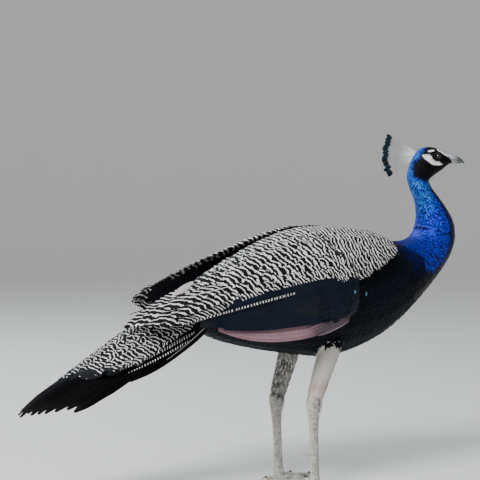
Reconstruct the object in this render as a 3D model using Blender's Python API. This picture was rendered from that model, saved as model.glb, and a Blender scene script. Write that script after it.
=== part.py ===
"""A life-size peacock, standing still: the solids of its head, neck, trunk, wings, tail and legs.

Metres, +Z up, +X towards the breast, +Y to the bird's left. The bird stands on z = 0, and the
origin is moved at the end to the ground below the middle of its bounding box.
"""

import math

import bmesh
import bpy
from mathutils import Matrix, Vector

# Driving dimensions
GAP = 0.0004  # clear space between neighbouring pieces
HEAD_TURN = math.radians(-20)  # the head looks a little to the bird's right
HEAD_PIVOT = Vector((0.2687, 0.0, 0.5621))  # middle of the head, on the spine
EYE_RADIUS = 0.0066
EYE_PLACE = Vector((0.0155, 0.0116, 0.0100))  # from the head's pivot: ahead, aside, up
STANCE = 0.055  # each foot's distance from the middle plane
HOCK = {"right": Vector((0.001, -STANCE, 0.154)), "left": Vector((-0.013, STANCE, 0.147))}
BALL = {"right": Vector((0.005, -STANCE, 0.013)), "left": Vector((-0.006, STANCE, 0.013))}
KNEE = {"right": Vector((0.037, -0.060, 0.262)), "left": Vector((0.028, 0.060, 0.262))}
SPUR_LENGTH = 0.020
SPUR_PLACE = {"right": 0.655, "left": 0.75}  # share of the way from the hock down to the foot
CREST_SHAFTS = 13
CREST_LENGTH = 0.051

# Points round a section
BODY_AROUND = 20
LIMB_AROUND = 12
TOE_AROUND = 8
BILL_AROUND = 10
WING_AROUND = 12
TAIL_AROUND = 14

SIDES = {"right": -1, "left": 1}
SHEEN = {  # colour, roughness, metallic
    "head_black": ((0.010, 0.016, 0.035), 0.5, 0.2),
    "neck_blue": ((0.015, 0.080, 0.520), 0.4, 0.5),
    "body_black": ((0.012, 0.016, 0.028), 0.55, 0.1),
    "barred": ((0.45, 0.42, 0.36), 0.7, 0.0),
    "flight_dark": ((0.015, 0.018, 0.025), 0.5, 0.1),
    "primary_rust": ((0.42, 0.22, 0.17), 0.6, 0.0),
    "tail_dark": ((0.022, 0.020, 0.020), 0.55, 0.0),
    "thigh_buff": ((0.62, 0.57, 0.50), 0.8, 0.0),
    "leg_scale": ((0.36, 0.31, 0.27), 0.55, 0.0),
    "horn": ((0.34, 0.32, 0.30), 0.4, 0.0),
    "eye": ((0.030, 0.016, 0.010), 0.08, 0.0),
    "crest": ((0.05, 0.16, 0.20), 0.5, 0.2),
}


def clear_scene():
    for obj in list(bpy.data.objects):
        bpy.data.objects.remove(obj)


def collection(name):
    made = bpy.data.collections.new(name)
    bpy.context.scene.collection.children.link(made)
    return made


def finish(name):
    """The Principled material of one surface."""
    mat = bpy.data.materials.get(name)
    if mat:
        return mat
    colour, roughness, metallic = SHEEN[name]
    mat = bpy.data.materials.new(name)
    mat.use_nodes = True
    shader = mat.node_tree.nodes["Principled BSDF"]
    shader.inputs["Base Color"].default_value = (*colour, 1.0)
    shader.inputs["Roughness"].default_value = roughness
    shader.inputs["Metallic"].default_value = metallic
    return mat


def add_object(name, mesh, surface, group):
    mesh.materials.append(finish(surface))
    mesh.shade_smooth()
    mesh.set_sharp_from_angle(angle=math.radians(50))
    obj = bpy.data.objects.new(name, mesh)
    group.objects.link(obj)
    return obj


# ---------------------------------------------------------------- sections and lofts


def oval(centre, aside, up, half_width, half_up, half_down, around, power=2.0):
    """A closed ring of points: an oval with its own upper and lower height. Two points share the
    lowest level, so a row of such rings that is clamped to a floor gets a flat sole."""
    points = []
    for i in range(around):
        angle = 2 * math.pi * (i + 0.5 * (around % 4 == 0)) / around
        c, s = math.cos(angle), math.sin(angle)
        x = half_width * math.copysign(abs(c) ** (2 / power), c)
        y = (half_up if s >= 0 else half_down) * math.copysign(abs(s) ** (2 / power), s)
        points.append(centre + aside * x + up * y)
    return points


def leaf(ends, bulge, outer, inner, along, around, grow=0.0):
    """A closed ring that follows an arc from ends[0] to ends[1], thick in the middle and thin at
    both edges. bulge is the arc's rise towards its outer side; outer and inner are the thickness
    on each side of the arc, and along is the direction in which the sections follow each other.
    A grown leaf follows the same arc, a little thicker and reaching a little past both ends."""
    start, end = ends
    chord = end - start
    out = along.cross(chord).normalized()
    middle, half = (start + end) / 2, chord / 2
    reach = 1 + grow / half.length
    points = []
    for i in range(around):
        angle = 2 * math.pi * i / around
        c, s = reach * math.cos(angle), math.sin(angle)
        thick = (outer if s >= 0 else inner) + grow * 1.5
        points.append(middle - half * c + out * (bulge * (1 - c * c) + thick * s))
    return points


def loft(name, rings):
    """A closed mesh through rings that have the same number of points, whose ends are
    closed by strips across from one half of the ring to the other."""
    bm = bmesh.new()
    rows = [[bm.verts.new(p) for p in ring] for ring in rings]
    count = len(rows[0])
    for a, b in zip(rows, rows[1:]):
        for i in range(count):
            j = (i + 1) % count
            bm.faces.new((a[i], a[j], b[j]))
            bm.faces.new((a[i], b[j], b[i]))
    for row in (rows[0], rows[-1]):
        for i in range(count // 2):
            corners = (row[i], row[i + 1], row[-i - 1], row[-i])
            bm.faces.new(list(dict.fromkeys(corners)))
    bmesh.ops.recalc_face_normals(bm, faces=bm.faces)
    mesh = bpy.data.meshes.new(name)
    bm.to_mesh(mesh)
    bm.free()
    return mesh


def between(table, t):
    """The row of numbers at t, on a smooth curve through the table's rows."""
    last = len(table) - 1
    i = min(int(t), last - 1)
    f = t - i
    rows = [table[max(0, min(last, k))] for k in (i - 1, i, i + 1, i + 2)]
    return [
        0.5 * (2 * b + (c - a) * f + (2 * a - 5 * b + 4 * c - d) * f**2 + (3 * b - a - 3 * c + d) * f**3)
        for a, b, c, d in zip(*rows)
    ]


def steps(start, end, count):
    return [start + (end - start) * i / (count - 1) for i in range(count)]


def cut(obj, *cutters):
    for cutter in cutters:
        modifier = obj.modifiers.new("clear_of_" + cutter.name, "BOOLEAN")
        modifier.operation = "DIFFERENCE"
        modifier.solver = "EXACT"
        modifier.object = cutter


def as_cutter(name, mesh, group):
    obj = bpy.data.objects.new(name, mesh)
    obj.hide_render = True
    obj.display_type = "WIRE"
    group.objects.link(obj)
    return obj


# ---------------------------------------------------------------- trunk, neck and head

# Each row: back point x, z; front point x, z; half-width. The trunk's sections run from rump to
# breast, then turn up the neck. A row's back is the bird's upper side, its front the lower side.
TRUNK_AND_NECK = [
    (-0.214, 0.338, -0.205, 0.285, 0.036),
    (-0.170, 0.360, -0.165, 0.262, 0.062),
    (-0.120, 0.385, -0.115, 0.247, 0.080),
    (-0.070, 0.409, -0.065, 0.236, 0.090),
    (-0.020, 0.430, -0.010, 0.227, 0.095),
    (0.035, 0.440, 0.045, 0.221, 0.097),
    (0.085, 0.439, 0.096, 0.230, 0.096),
    (0.130, 0.434, 0.146, 0.250, 0.091),
    (0.170, 0.427, 0.194, 0.281, 0.082),
    (0.202, 0.422, 0.236, 0.320, 0.071),
    (0.226, 0.424, 0.275, 0.357, 0.059),
    (0.240, 0.431, 0.304, 0.389, 0.048),
    (0.247, 0.444, 0.318, 0.419, 0.041),
    (0.250, 0.461, 0.318, 0.449, 0.036),
    (0.248, 0.479, 0.305, 0.476, 0.030),
    (0.243, 0.496, 0.288, 0.498, 0.025),
    (0.234, 0.512, 0.274, 0.515, 0.0215),
]
# The same, measured ahead of and above the head's pivot, in the head's own turned frame.
HEAD = [
    (-0.039, -0.031, 0.001, -0.033, 0.0200),
    (-0.038, -0.019, 0.006, -0.0275, 0.0202),
    (-0.034, -0.005, 0.015, -0.021, 0.0205),
    (-0.0275, 0.011, 0.024, -0.0150, 0.0205),
    (-0.018, 0.0230, 0.031, -0.0095, 0.0195),
    (-0.004, 0.0275, 0.036, -0.0055, 0.0175),
    (0.009, 0.0268, 0.040, -0.0030, 0.0150),
    (0.021, 0.0225, 0.043, -0.0015, 0.0120),
    (0.031, 0.0165, 0.0445, -0.0005, 0.0088),
]
NECK_JOINS = (8.55, 12.4)  # places in the table where trunk meets neck, and where the neck is parted
LAST_NECK = len(TRUNK_AND_NECK) - 1
BODY_POWER = 2.15  # 2 is an ellipse; more is squarer
HEAD_POWER = 2.2


def head_matrix():
    return Matrix.Translation(HEAD_PIVOT) @ Matrix.Rotation(HEAD_TURN, 4, "Z")


def body_ring(t, shift=0.0, grow=0.0):
    """The body's section at place t, moved along the spine by shift and made larger by grow."""
    rows = TRUNK_AND_NECK
    bx, bz, fx, fz, width = between(rows, t)
    back, front = Vector((bx, 0, bz)), Vector((fx, 0, fz))
    up = (back - front).normalized()
    aside = Vector((0, 1, 0))
    half = (back - front).length / 2 + grow
    along = up.cross(aside) * -1
    centre = (back + front) / 2 + along * shift
    return oval(centre, aside, up, width + grow, half, half, BODY_AROUND, BODY_POWER)


def head_ring(t, shift=0.0, grow=0.0):
    bx, bz, fx, fz, width = between(HEAD, t)
    back, front = Vector((bx, 0, bz)), Vector((fx, 0, fz))
    up = (back - front).normalized()
    aside = Vector((0, 1, 0))
    half = (back - front).length / 2 + grow
    along = up.cross(aside) * -1
    centre = (back + front) / 2 + along * shift
    ring = oval(centre, aside, up, width + grow, half, half, BODY_AROUND, HEAD_POWER)
    place = head_matrix()
    return [place @ p for p in ring]


def body_piece(name, start, end, count, shift_start, shift_end):
    places = steps(start, end, count)
    rings = [body_ring(t) for t in places]
    rings[0] = body_ring(start, shift_start)
    rings[-1] = body_ring(end, shift_end)
    return loft(name, rings)


def head_mesh(grow=0.0):
    last = len(HEAD) - 1
    rings = [head_ring(t, grow=grow) for t in steps(0, last, 12)]
    return loft("head", rings)


def upper_neck_mesh(name):
    """The neck's upper length, whose last section turns to meet the head's first one."""
    rings = [body_ring(t) for t in steps(NECK_JOINS[1], LAST_NECK, 8)]
    rings[0] = body_ring(NECK_JOINS[1], GAP / 2)
    rings.append(head_ring(0, -GAP))
    return loft(name, rings)


def eye_mesh(name, side, radius):
    bm = bmesh.new()
    bmesh.ops.create_uvsphere(bm, u_segments=12, v_segments=8, radius=radius)
    place = EYE_PLACE.copy()
    place.y *= side
    turn = Matrix.Rotation(math.radians(90), 4, "X")
    bmesh.ops.transform(bm, matrix=head_matrix() @ Matrix.Translation(place) @ turn, verts=bm.verts)
    mesh = bpy.data.meshes.new(name)
    bm.to_mesh(mesh)
    bm.free()
    return mesh


# Each row, in the head's frame: distance ahead, top and bottom height, half-width.
BILL_UPPER = [
    (0.0280, 0.0145, 0.0030, 0.0066),
    (0.0360, 0.0140, 0.0034, 0.0062),
    (0.0440, 0.0134, 0.0030, 0.0054),
    (0.0520, 0.0114, 0.0022, 0.0044),
    (0.0590, 0.0079, 0.0006, 0.0033),
    (0.0645, 0.0032, -0.0018, 0.0021),
    (0.0672, -0.0010, -0.0034, 0.0009),
]
BILL_LOWER = [
    (0.0300, 0.0024, -0.0032, 0.0052),
    (0.0400, 0.0026, -0.0030, 0.0048),
    (0.0490, 0.0019, -0.0026, 0.0040),
    (0.0560, 0.0009, -0.0024, 0.0029),
    (0.0610, -0.0006, -0.0026, 0.0016),
]


def bill_mesh(name, table, count, grow=0.0):
    rings = []
    for t in steps(0, len(table) - 1, count):
        ahead, top, bottom, width = between(table, t)
        half = (top - bottom) / 2 + grow
        centre = Vector((ahead, 0, (top + bottom) / 2))
        aside, up = Vector((0, 1, 0)), Vector((0, 0, 1))
        rings.append(oval(centre, aside, up, width + grow, half, half, BILL_AROUND, HEAD_POWER))
    place = head_matrix()
    return loft(name, [[place @ p for p in ring] for ring in rings])


def crest_mesh(name, group):
    """A fan of bare shafts with a small paddle on each tip, rising from the back of the crown."""
    root = Vector((-0.023, 0.0, 0.0125))
    first, last = math.radians(151), math.radians(218)  # directions in the head's middle plane
    bm = bmesh.new()
    bmesh.ops.create_uvsphere(bm, u_segments=8, v_segments=6, radius=0.0042)
    pad = Matrix.Translation(root + Vector((-0.0027, 0, -0.0013)))
    bmesh.ops.transform(bm, matrix=pad, verts=bm.verts)
    for i in range(CREST_SHAFTS):
        share = i / (CREST_SHAFTS - 1)
        angle = first + (last - first) * share
        lean = math.radians(7) * (-1) ** i
        way = Vector((math.cos(angle) * math.cos(lean), math.sin(lean), math.sin(angle)))
        length = CREST_LENGTH * (0.97 + 0.14 * share**2)
        turn = way.to_track_quat("Z", "Y").to_matrix().to_4x4()
        shaft = bmesh.ops.create_cone(
            bm, cap_ends=True, segments=4, radius1=0.0008, radius2=0.0005, depth=length
        )
        middle = Matrix.Translation(root + way * length / 2) @ turn
        bmesh.ops.transform(bm, matrix=middle, verts=shaft["verts"])
        paddle = bmesh.ops.create_uvsphere(bm, u_segments=5, v_segments=4, radius=1.0)
        size = Matrix.Diagonal((0.0030, 0.0007, 0.0060, 1.0))
        upright = Matrix.Rotation(math.atan2(way.x, way.z), 4, "Y")
        tip = Matrix.Translation(root + way * length) @ upright @ size
        bmesh.ops.transform(bm, matrix=tip, verts=paddle["verts"])
    bmesh.ops.transform(bm, matrix=head_matrix(), verts=bm.verts)
    mesh = bpy.data.meshes.new(name)
    bm.to_mesh(mesh)
    bm.free()
    crest = add_object(name, mesh, "crest", group)
    join_shells(crest)
    return crest


def join_shells(obj):
    """Joins an object's overlapping shells into one body."""
    modifier = obj.modifiers.new("join", "BOOLEAN")
    modifier.operation = "UNION"
    modifier.solver = "EXACT"
    modifier.use_self = True
    modifier.object = JOIN_SEED


def seed_object(group):
    """A tiny ball inside the crest's root: what a Boolean that joins an object's own shells adds."""
    bm = bmesh.new()
    bmesh.ops.create_icosphere(bm, subdivisions=1, radius=0.001)
    place = head_matrix() @ Matrix.Translation((-0.0262, 0.0002, 0.0115))
    bmesh.ops.transform(bm, matrix=place, verts=bm.verts)
    mesh = bpy.data.meshes.new("join_seed")
    bm.to_mesh(mesh)
    bm.free()
    return as_cutter("join_seed", mesh, group)


# ---------------------------------------------------------------- wings

# Each row: x; upper edge y, z; lower edge y, z; bulge; outer and inner thickness. y is outward.
SHIELD = [
    (0.160, 0.066, 0.416, 0.077, 0.406, 0.002, 0.0025, 0.003),
    (0.147, 0.046, 0.431, 0.093, 0.402, 0.008, 0.0045, 0.010),
    (0.122, 0.024, 0.441, 0.104, 0.392, 0.018, 0.0060, 0.020),
    (0.085, 0.010, 0.449, 0.111, 0.371, 0.028, 0.0065, 0.024),
    (0.035, 0.006, 0.453, 0.115, 0.362, 0.031, 0.0070, 0.024),
    (-0.020, 0.006, 0.451, 0.115, 0.355, 0.030, 0.0070, 0.022),
    (-0.070, 0.010, 0.437, 0.112, 0.350, 0.026, 0.0065, 0.020),
    (-0.120, 0.020, 0.418, 0.107, 0.341, 0.021, 0.0060, 0.016),
    (-0.170, 0.034, 0.398, 0.101, 0.328, 0.016, 0.0055, 0.010),
    (-0.215, 0.047, 0.376, 0.094, 0.315, 0.012, 0.0045, 0.006),
    (-0.250, 0.058, 0.355, 0.087, 0.313, 0.007, 0.0035, 0.004),
    (-0.276, 0.068, 0.338, 0.078, 0.325, 0.002, 0.0020, 0.002),
]
FLIGHT = [
    (0.060, 0.1080, 0.368, 0.1100, 0.312, 0.004, 0.0035, 0.0060),
    (0.030, 0.1095, 0.372, 0.1110, 0.298, 0.005, 0.0045, 0.0070),
    (-0.030, 0.1095, 0.366, 0.1100, 0.291, 0.006, 0.0045, 0.0090),
    (-0.090, 0.1070, 0.360, 0.1065, 0.289, 0.005, 0.0045, 0.0140),
    (-0.150, 0.1010, 0.350, 0.1000, 0.290, 0.004, 0.0040, 0.0120),
    (-0.200, 0.0940, 0.330, 0.0915, 0.287, 0.003, 0.0030, 0.0060),
    (-0.232, 0.0870, 0.310, 0.0850, 0.290, 0.001, 0.0020, 0.0030),
]
PRIMARIES = [
    (0.044, 0.1075, 0.3040, 0.1080, 0.2960, 0.0005, 0.0020, 0.0030),
    (0.015, 0.1110, 0.3040, 0.1090, 0.2830, 0.0015, 0.0040, 0.0070),
    (-0.040, 0.1120, 0.2980, 0.1080, 0.2690, 0.0020, 0.0045, 0.0100),
    (-0.100, 0.1090, 0.2950, 0.1040, 0.2640, 0.0020, 0.0045, 0.0120),
    (-0.150, 0.1030, 0.2940, 0.0990, 0.2665, 0.0015, 0.0040, 0.0100),
    (-0.185, 0.0965, 0.2930, 0.0945, 0.2745, 0.0010, 0.0030, 0.0060),
    (-0.208, 0.0920, 0.2895, 0.0910, 0.2840, 0.0005, 0.0015, 0.0020),
]


def wing_layer(name, table, side, count, grow=0.0):
    rings = []
    last = len(table) - 1
    for t in steps(0, last, count):
        x, y0, z0, y1, z1, bulge, outer, inner = between(table, t)
        if t in (0, last):
            x += grow if t == 0 else -grow
        ends = (Vector((x, side * y0, z0)), Vector((x, side * y1, z1)))
        rings.append(leaf(ends, bulge, outer, inner, Vector((side, 0, 0)), WING_AROUND, grow))
    return loft(name, rings)


def build_wing(name_side, group, cutters):
    """The barred shield of scapulars and coverts, the dark flight feathers below it, and the rusty
    primaries along the lower edge. Each lower layer is cut clear of the one that lies over it."""
    side = SIDES[name_side]
    layers = (
        ("wing_shield", SHIELD, 15, "barred"),
        ("wing_flight", FLIGHT, 8, "flight_dark"),
        ("wing_primaries", PRIMARIES, 8, "primary_rust"),
    )
    above = []
    for base, table, count, surface in layers:
        name = f"{base}_{name_side}"
        obj = add_object(name, wing_layer(name, table, side, count), surface, group)
        cut(obj, *above)
        grown = wing_layer("clear_" + name, table, side, count, grow=GAP)
        above.append(as_cutter("clear_" + name, grown, cutters))
    return above


# ---------------------------------------------------------------- tail

# Each row: x, ridge height, half-width, fall of the sides below the ridge, thickness.
TAIL_COVERTS = [
    (-0.150, 0.350, 0.030, 0.030, 0.016),
    (-0.190, 0.347, 0.044, 0.040, 0.020),
    (-0.230, 0.338, 0.052, 0.050, 0.021),
    (-0.270, 0.321, 0.056, 0.056, 0.020),
    (-0.310, 0.297, 0.056, 0.054, 0.017),
    (-0.350, 0.272, 0.051, 0.046, 0.013),
    (-0.390, 0.247, 0.040, 0.034, 0.009),
    (-0.425, 0.224, 0.022, 0.016, 0.005),
    (-0.440, 0.214, 0.010, 0.006, 0.003),
]
TAIL = [
    (-0.205, 0.330, 0.036, 0.042, 0.030),
    (-0.250, 0.314, 0.046, 0.054, 0.030),
    (-0.300, 0.288, 0.053, 0.062, 0.026),
    (-0.350, 0.262, 0.056, 0.064, 0.020),
    (-0.400, 0.2345, 0.057, 0.060, 0.015),
    (-0.440, 0.2105, 0.053, 0.049, 0.011),
    (-0.475, 0.190, 0.044, 0.037, 0.008),
    (-0.500, 0.171, 0.030, 0.023, 0.006),
    (-0.513, 0.158, 0.014, 0.009, 0.003),
]


def tail_layer(name, table, count, grow=0.0):
    rings = []
    last = len(table) - 1
    for t in steps(0, last, count):
        x, ridge, width, fall, thick = between(table, t)
        if t in (0, last):
            x += grow if t == 0 else -grow
        ends = (Vector((x, width, ridge - fall)), Vector((x, -width, ridge - fall)))
        half = thick / 2
        rings.append(leaf(ends, fall - half, half, half, Vector((-1, 0, 0)), TAIL_AROUND, grow))
    return loft(name, rings)


# ---------------------------------------------------------------- legs


def limb_rings(stations, around, floor=None):
    """Rings along a limb. Each station: centre, half-width aside, half-depth; the sections stand
    across the line from the station before to the one after."""
    rings = []
    for i, (centre, aside, deep) in enumerate(stations):
        before = stations[max(0, i - 1)][0]
        after = stations[min(len(stations) - 1, i + 1)][0]
        along = (after - before).normalized()
        side = Vector((0, 0, 1)).cross(along)
        side = Vector((0, 1, 0)) if side.length < 0.5 else side.normalized()
        up = along.cross(side)
        ring = oval(centre, side, up, aside, deep, deep, around)
        if floor is not None:
            ring = [Vector((p.x, p.y, max(p.z, floor))) for p in ring]
        rings.append(ring)
    return rings


def thigh_mesh(name, side_name):
    """The feathered shank from the flank down to just above the hock."""
    knee, hock = KNEE[side_name], HOCK[side_name]
    top = hock + Vector((0.003, 0, 0.004))
    shape = [(0.0, 0.023, 0.0205), (0.22, 0.0205, 0.0200), (0.45, 0.0180, 0.0190)]
    shape += [(0.70, 0.0155, 0.0175), (0.90, 0.0135, 0.0160), (1.0, 0.0120, 0.0150)]
    stations = [(knee.lerp(top, share), aside, deep) for share, aside, deep in shape]
    return loft(name, limb_rings(stations, LIMB_AROUND))


def tarsus_mesh(name, side_name, grow=0.0):
    """The bare shank: a knobbed hock, a straight flattened shaft and the ball of the foot."""
    hock, ball = HOCK[side_name], BALL[side_name]
    knob = hock + Vector((0.0, 0, 0.0120))
    low = Vector((ball.x, ball.y, 0.0))
    shape = [(0.0, 0.0092, 0.0128), (0.07, 0.0088, 0.0124), (0.17, 0.0072, 0.0102)]
    shape += [(0.30, 0.0058, 0.0084), (0.50, 0.0052, 0.0077), (0.68, 0.0050, 0.0076)]
    shape += [(0.83, 0.0056, 0.0080), (0.90, 0.0074, 0.0094)]
    stations = [(knob, 0.0070 + grow, 0.0096 + grow)]
    stations += [(hock.lerp(low, share), a + grow, d + grow) for share, a, d in shape]
    stations.append((Vector((ball.x, ball.y, 0.0040)), 0.0082 + grow, 0.0100 + grow))
    rings = limb_rings(stations, LIMB_AROUND)
    rings.append([Vector((p.x, p.y, 0.0 - grow)) for p in rings[-1]])
    return loft(name, rings)


TOE_START = 0.0062  # the toes grow from inside the ball of the foot and are cut clear of it
TOES = {  # heading outward from straight ahead in degrees, length without claw, thickness
    "middle": (4, 0.064, 0.0052),
    "inner": (-30, 0.045, 0.0046),
    "outer": (38, 0.049, 0.0045),
    "hind": (172, 0.024, 0.0040),
}
CLAW_SEAT = 0.0015  # how far a claw would reach into its toe, before it is cut clear
CLAW_LENGTH = {"middle": 0.0145, "inner": 0.013, "outer": 0.0125, "hind": 0.011}


def toe_line(side_name, toe):
    heading, length, thick = TOES[toe]
    angle = math.radians(heading) * SIDES[side_name]
    start = Vector((BALL[side_name].x, BALL[side_name].y, 0.0))
    way = Vector((math.cos(angle), math.sin(angle), 0))
    return start, way, length, thick


def toe_mesh(name, side_name, toe, grow=0.0):
    """A toe with a pad under each joint, flat where it meets the ground."""
    start, way, length, thick = toe_line(side_name, toe)
    stations = []
    joints = 3
    for share in steps(0, 1, 7):
        pad = 0.10 * math.cos(2 * math.pi * joints * share)
        size = thick * (1.0 - 0.34 * share) * (1 + pad)
        if share == 1:
            size *= 0.72
        reach = TOE_START + (length - TOE_START) * share
        stations.append((start + way * reach + Vector((0, 0, size * 0.90)), size + grow, size + grow))
    return loft(name, limb_rings(stations, TOE_AROUND, floor=0.0 - grow))


def claw_mesh(name, side_name, toe):
    start, way, length, thick = toe_line(side_name, toe)
    claw = CLAW_LENGTH[toe]
    base = thick * 0.50
    stations = []
    for share in steps(0, 1, 4):
        drop = 0.0052 * (1 - share**1.8) + 0.0006
        size = max(base * (1 - share) ** 0.8, 0.00045)
        height = max(drop, size)
        reach = length - CLAW_SEAT + (claw + CLAW_SEAT) * share
        stations.append((start + way * reach + Vector((0, 0, height)), size * 0.8, size))
    return loft(name, limb_rings(stations, 8, floor=0.0))


def spur_mesh(name, side_name, grow=0.0):
    """A short curved spike on the back of the shank, leaning towards the other leg."""
    side = SIDES[side_name]
    root = HOCK[side_name].lerp(BALL[side_name], SPUR_PLACE[side_name])
    way = Vector((-0.75, -0.66 * side, 0.0)).normalized()
    stations = []
    for share, size in ((0.0, 0.0046), (0.35, 0.0036), (0.7, 0.0020), (1.0, 0.0006)):
        rise = Vector((0, 0, 0.0015 * share * share))
        stations.append((root + way * (0.0050 + SPUR_LENGTH * share) + rise, size, size))
    return loft(name, limb_rings(stations, 8))


def build_leg(side_name, group, cutters):
    thigh = add_object(f"thigh_{side_name}", thigh_mesh("thigh", side_name), "thigh_buff", group)
    clear_shank = as_cutter(f"clear_tarsus_{side_name}", tarsus_mesh("clear", side_name, GAP), cutters)
    cut(thigh, clear_shank)
    name = f"tarsus_{side_name}"
    add_object(name, tarsus_mesh(name, side_name), "leg_scale", group)
    name = f"spur_{side_name}"
    spur = add_object(name, spur_mesh(name, side_name), "horn", group)
    cut(spur, clear_shank)
    clear_middle = None
    for toe in TOES:
        name = f"toe_{toe}_{side_name}"
        obj = add_object(name, toe_mesh(name, side_name, toe), "leg_scale", group)
        cut(obj, clear_shank)
        clear_toe = as_cutter("clear_" + name, toe_mesh("clear", side_name, toe, GAP), cutters)
        if toe == "middle":
            clear_middle = clear_toe
        elif toe != "hind":
            cut(obj, clear_middle)
        name = f"claw_{toe}_{side_name}"
        claw = add_object(name, claw_mesh(name, side_name, toe), "horn", group)
        cut(claw, clear_toe)
    return thigh


# ---------------------------------------------------------------- the whole bird


def build_body(group, cutters, wing_cutters):
    """Trunk and neck, parted across the spine. The trunk is cut clear of the wings."""
    base, middle = NECK_JOINS
    rump_end = 3.0
    half = GAP / 2
    pieces = (
        ("trunk_rear", 0, rump_end, 8, 0, -half, "body_black"),
        ("trunk_front", rump_end, base, 12, half, -half, "body_black"),
        ("neck_lower", base, middle, 10, half, -half, "neck_blue"),
    )
    for name, start, end, count, shift_start, shift_end, surface in pieces:
        mesh = body_piece(name, start, end, count, shift_start, shift_end)
        obj = add_object(name, mesh, surface, group)
        if name.startswith("trunk"):
            cut(obj, *(cutter for cutter in wing_cutters if "shield" in cutter.name))
    add_object("neck_upper", upper_neck_mesh("neck_upper"), "neck_blue", group)
    rings = [body_ring(t, grow=GAP) for t in steps(0, base, 20)]
    return as_cutter("clear_trunk", loft("clear_trunk", rings), cutters)


def build_head(group, cutters):
    head = add_object("head", head_mesh(), "head_black", group)
    clear_head = as_cutter("clear_head", head_mesh(GAP), cutters)
    for side_name, side in SIDES.items():
        name = f"eye_{side_name}"
        add_object(name, eye_mesh(name, side, EYE_RADIUS), "eye", group)
        socket = eye_mesh("socket", side, EYE_RADIUS + GAP)
        cut(head, as_cutter(f"socket_{side_name}", socket, cutters))
    upper = add_object("bill_upper", bill_mesh("bill_upper", BILL_UPPER, 9), "horn", group)
    lower = add_object("bill_lower", bill_mesh("bill_lower", BILL_LOWER, 7), "horn", group)
    clear_upper = as_cutter("clear_bill", bill_mesh("clear_bill", BILL_UPPER, 9, GAP), cutters)
    cut(upper, clear_head)
    cut(lower, clear_head, clear_upper)
    cut(crest_mesh("crest", group), clear_head)


def build_tail(group, cutters, clear_trunk, wing_cutters):
    coverts = add_object("tail_coverts", tail_layer("tail_coverts", TAIL_COVERTS, 11), "barred", group)
    grown = tail_layer("clear_coverts", TAIL_COVERTS, 11, GAP)
    clear_coverts = as_cutter("clear_coverts", grown, cutters)
    tail = add_object("tail", tail_layer("tail", TAIL, 11), "tail_dark", group)
    cut(coverts, clear_trunk, *wing_cutters)
    cut(tail, clear_trunk, clear_coverts)


def centre_on_ground(group):
    """Moves the bird so that the middle of its box is over the origin, and its soles are at z = 0."""
    bpy.context.view_layer.update()
    graph = bpy.context.evaluated_depsgraph_get()
    corners = []
    for obj in group.objects:
        corners += [obj.matrix_world @ Vector(c) for c in obj.evaluated_get(graph).bound_box]
    middle = [(min(c[axis] for c in corners) + max(c[axis] for c in corners)) / 2 for axis in (0, 1)]
    shift = Vector((-middle[0], -middle[1], 0))
    for obj in bpy.data.objects:
        obj.location += shift
    print("moved by", [round(v, 5) for v in shift])


clear_scene()
bird = collection("peacock")
helpers = collection("cutters")
JOIN_SEED = seed_object(helpers)

wing_clearances = []
for one_side in SIDES:
    wing_clearances += build_wing(one_side, bird, helpers)
trunk_clearance = build_body(bird, helpers, wing_clearances)
build_head(bird, helpers)
build_tail(bird, helpers, trunk_clearance, wing_clearances)
for one_side in SIDES:
    cut(build_leg(one_side, bird, helpers), trunk_clearance)
centre_on_ground(bird)
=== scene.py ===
# %% [markdown]
# # A peacock at life size
#
# A mounted-looking model of an Indian peacock that has dropped its long train, standing still.
# The solids of head, neck, trunk, wings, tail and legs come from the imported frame. This lesson
# gives them one skin, lays solid feathers over it along the lie of a real bird's plumage, and
# makes every surface from nodes.

import math
from types import SimpleNamespace

import bmesh
import bpy
import numpy as np
from mathutils import Matrix, Vector
from mathutils.bvhtree import BVHTree


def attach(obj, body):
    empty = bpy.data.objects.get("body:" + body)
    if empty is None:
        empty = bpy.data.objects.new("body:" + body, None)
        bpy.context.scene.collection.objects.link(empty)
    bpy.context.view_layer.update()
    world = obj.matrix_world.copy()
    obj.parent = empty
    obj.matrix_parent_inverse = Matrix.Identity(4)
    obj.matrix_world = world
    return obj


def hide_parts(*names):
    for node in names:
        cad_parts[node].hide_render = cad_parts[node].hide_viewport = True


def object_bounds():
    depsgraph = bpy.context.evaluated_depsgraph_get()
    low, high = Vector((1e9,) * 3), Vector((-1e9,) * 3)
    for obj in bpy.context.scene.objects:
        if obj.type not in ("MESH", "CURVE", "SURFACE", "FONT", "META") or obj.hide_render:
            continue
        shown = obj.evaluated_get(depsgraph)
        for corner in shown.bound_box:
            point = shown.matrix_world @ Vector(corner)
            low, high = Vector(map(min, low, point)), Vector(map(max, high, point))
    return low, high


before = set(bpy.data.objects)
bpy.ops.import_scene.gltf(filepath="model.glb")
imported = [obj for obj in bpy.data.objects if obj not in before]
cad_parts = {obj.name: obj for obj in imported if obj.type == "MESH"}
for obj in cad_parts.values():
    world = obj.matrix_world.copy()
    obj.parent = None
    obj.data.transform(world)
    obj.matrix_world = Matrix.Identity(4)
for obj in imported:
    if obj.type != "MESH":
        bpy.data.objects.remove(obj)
cad_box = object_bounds()
print("frame:", len(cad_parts), "nodes, box", [tuple(round(v, 3) for v in c) for c in cad_box])

# %% [markdown]
# ## Camera
#
# The bird is seen from its right side, a little from behind the shoulder line, at the height of
# its back. A long lens from three metres keeps the proportions true. The frame cuts off the toes.

# %% Camera
AZIMUTH, ELEVATION, DISTANCE = math.radians(-27), math.radians(3), 3.0
FIELD = 0.84  # width of what the camera sees at the bird, in metres
SENSOR = 36  # width of the camera's sensor, in millimetres
AIM_OFFSET = Vector((0.0117, 0.0652, 0.1254))  # from the middle of the bird's box

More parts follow.
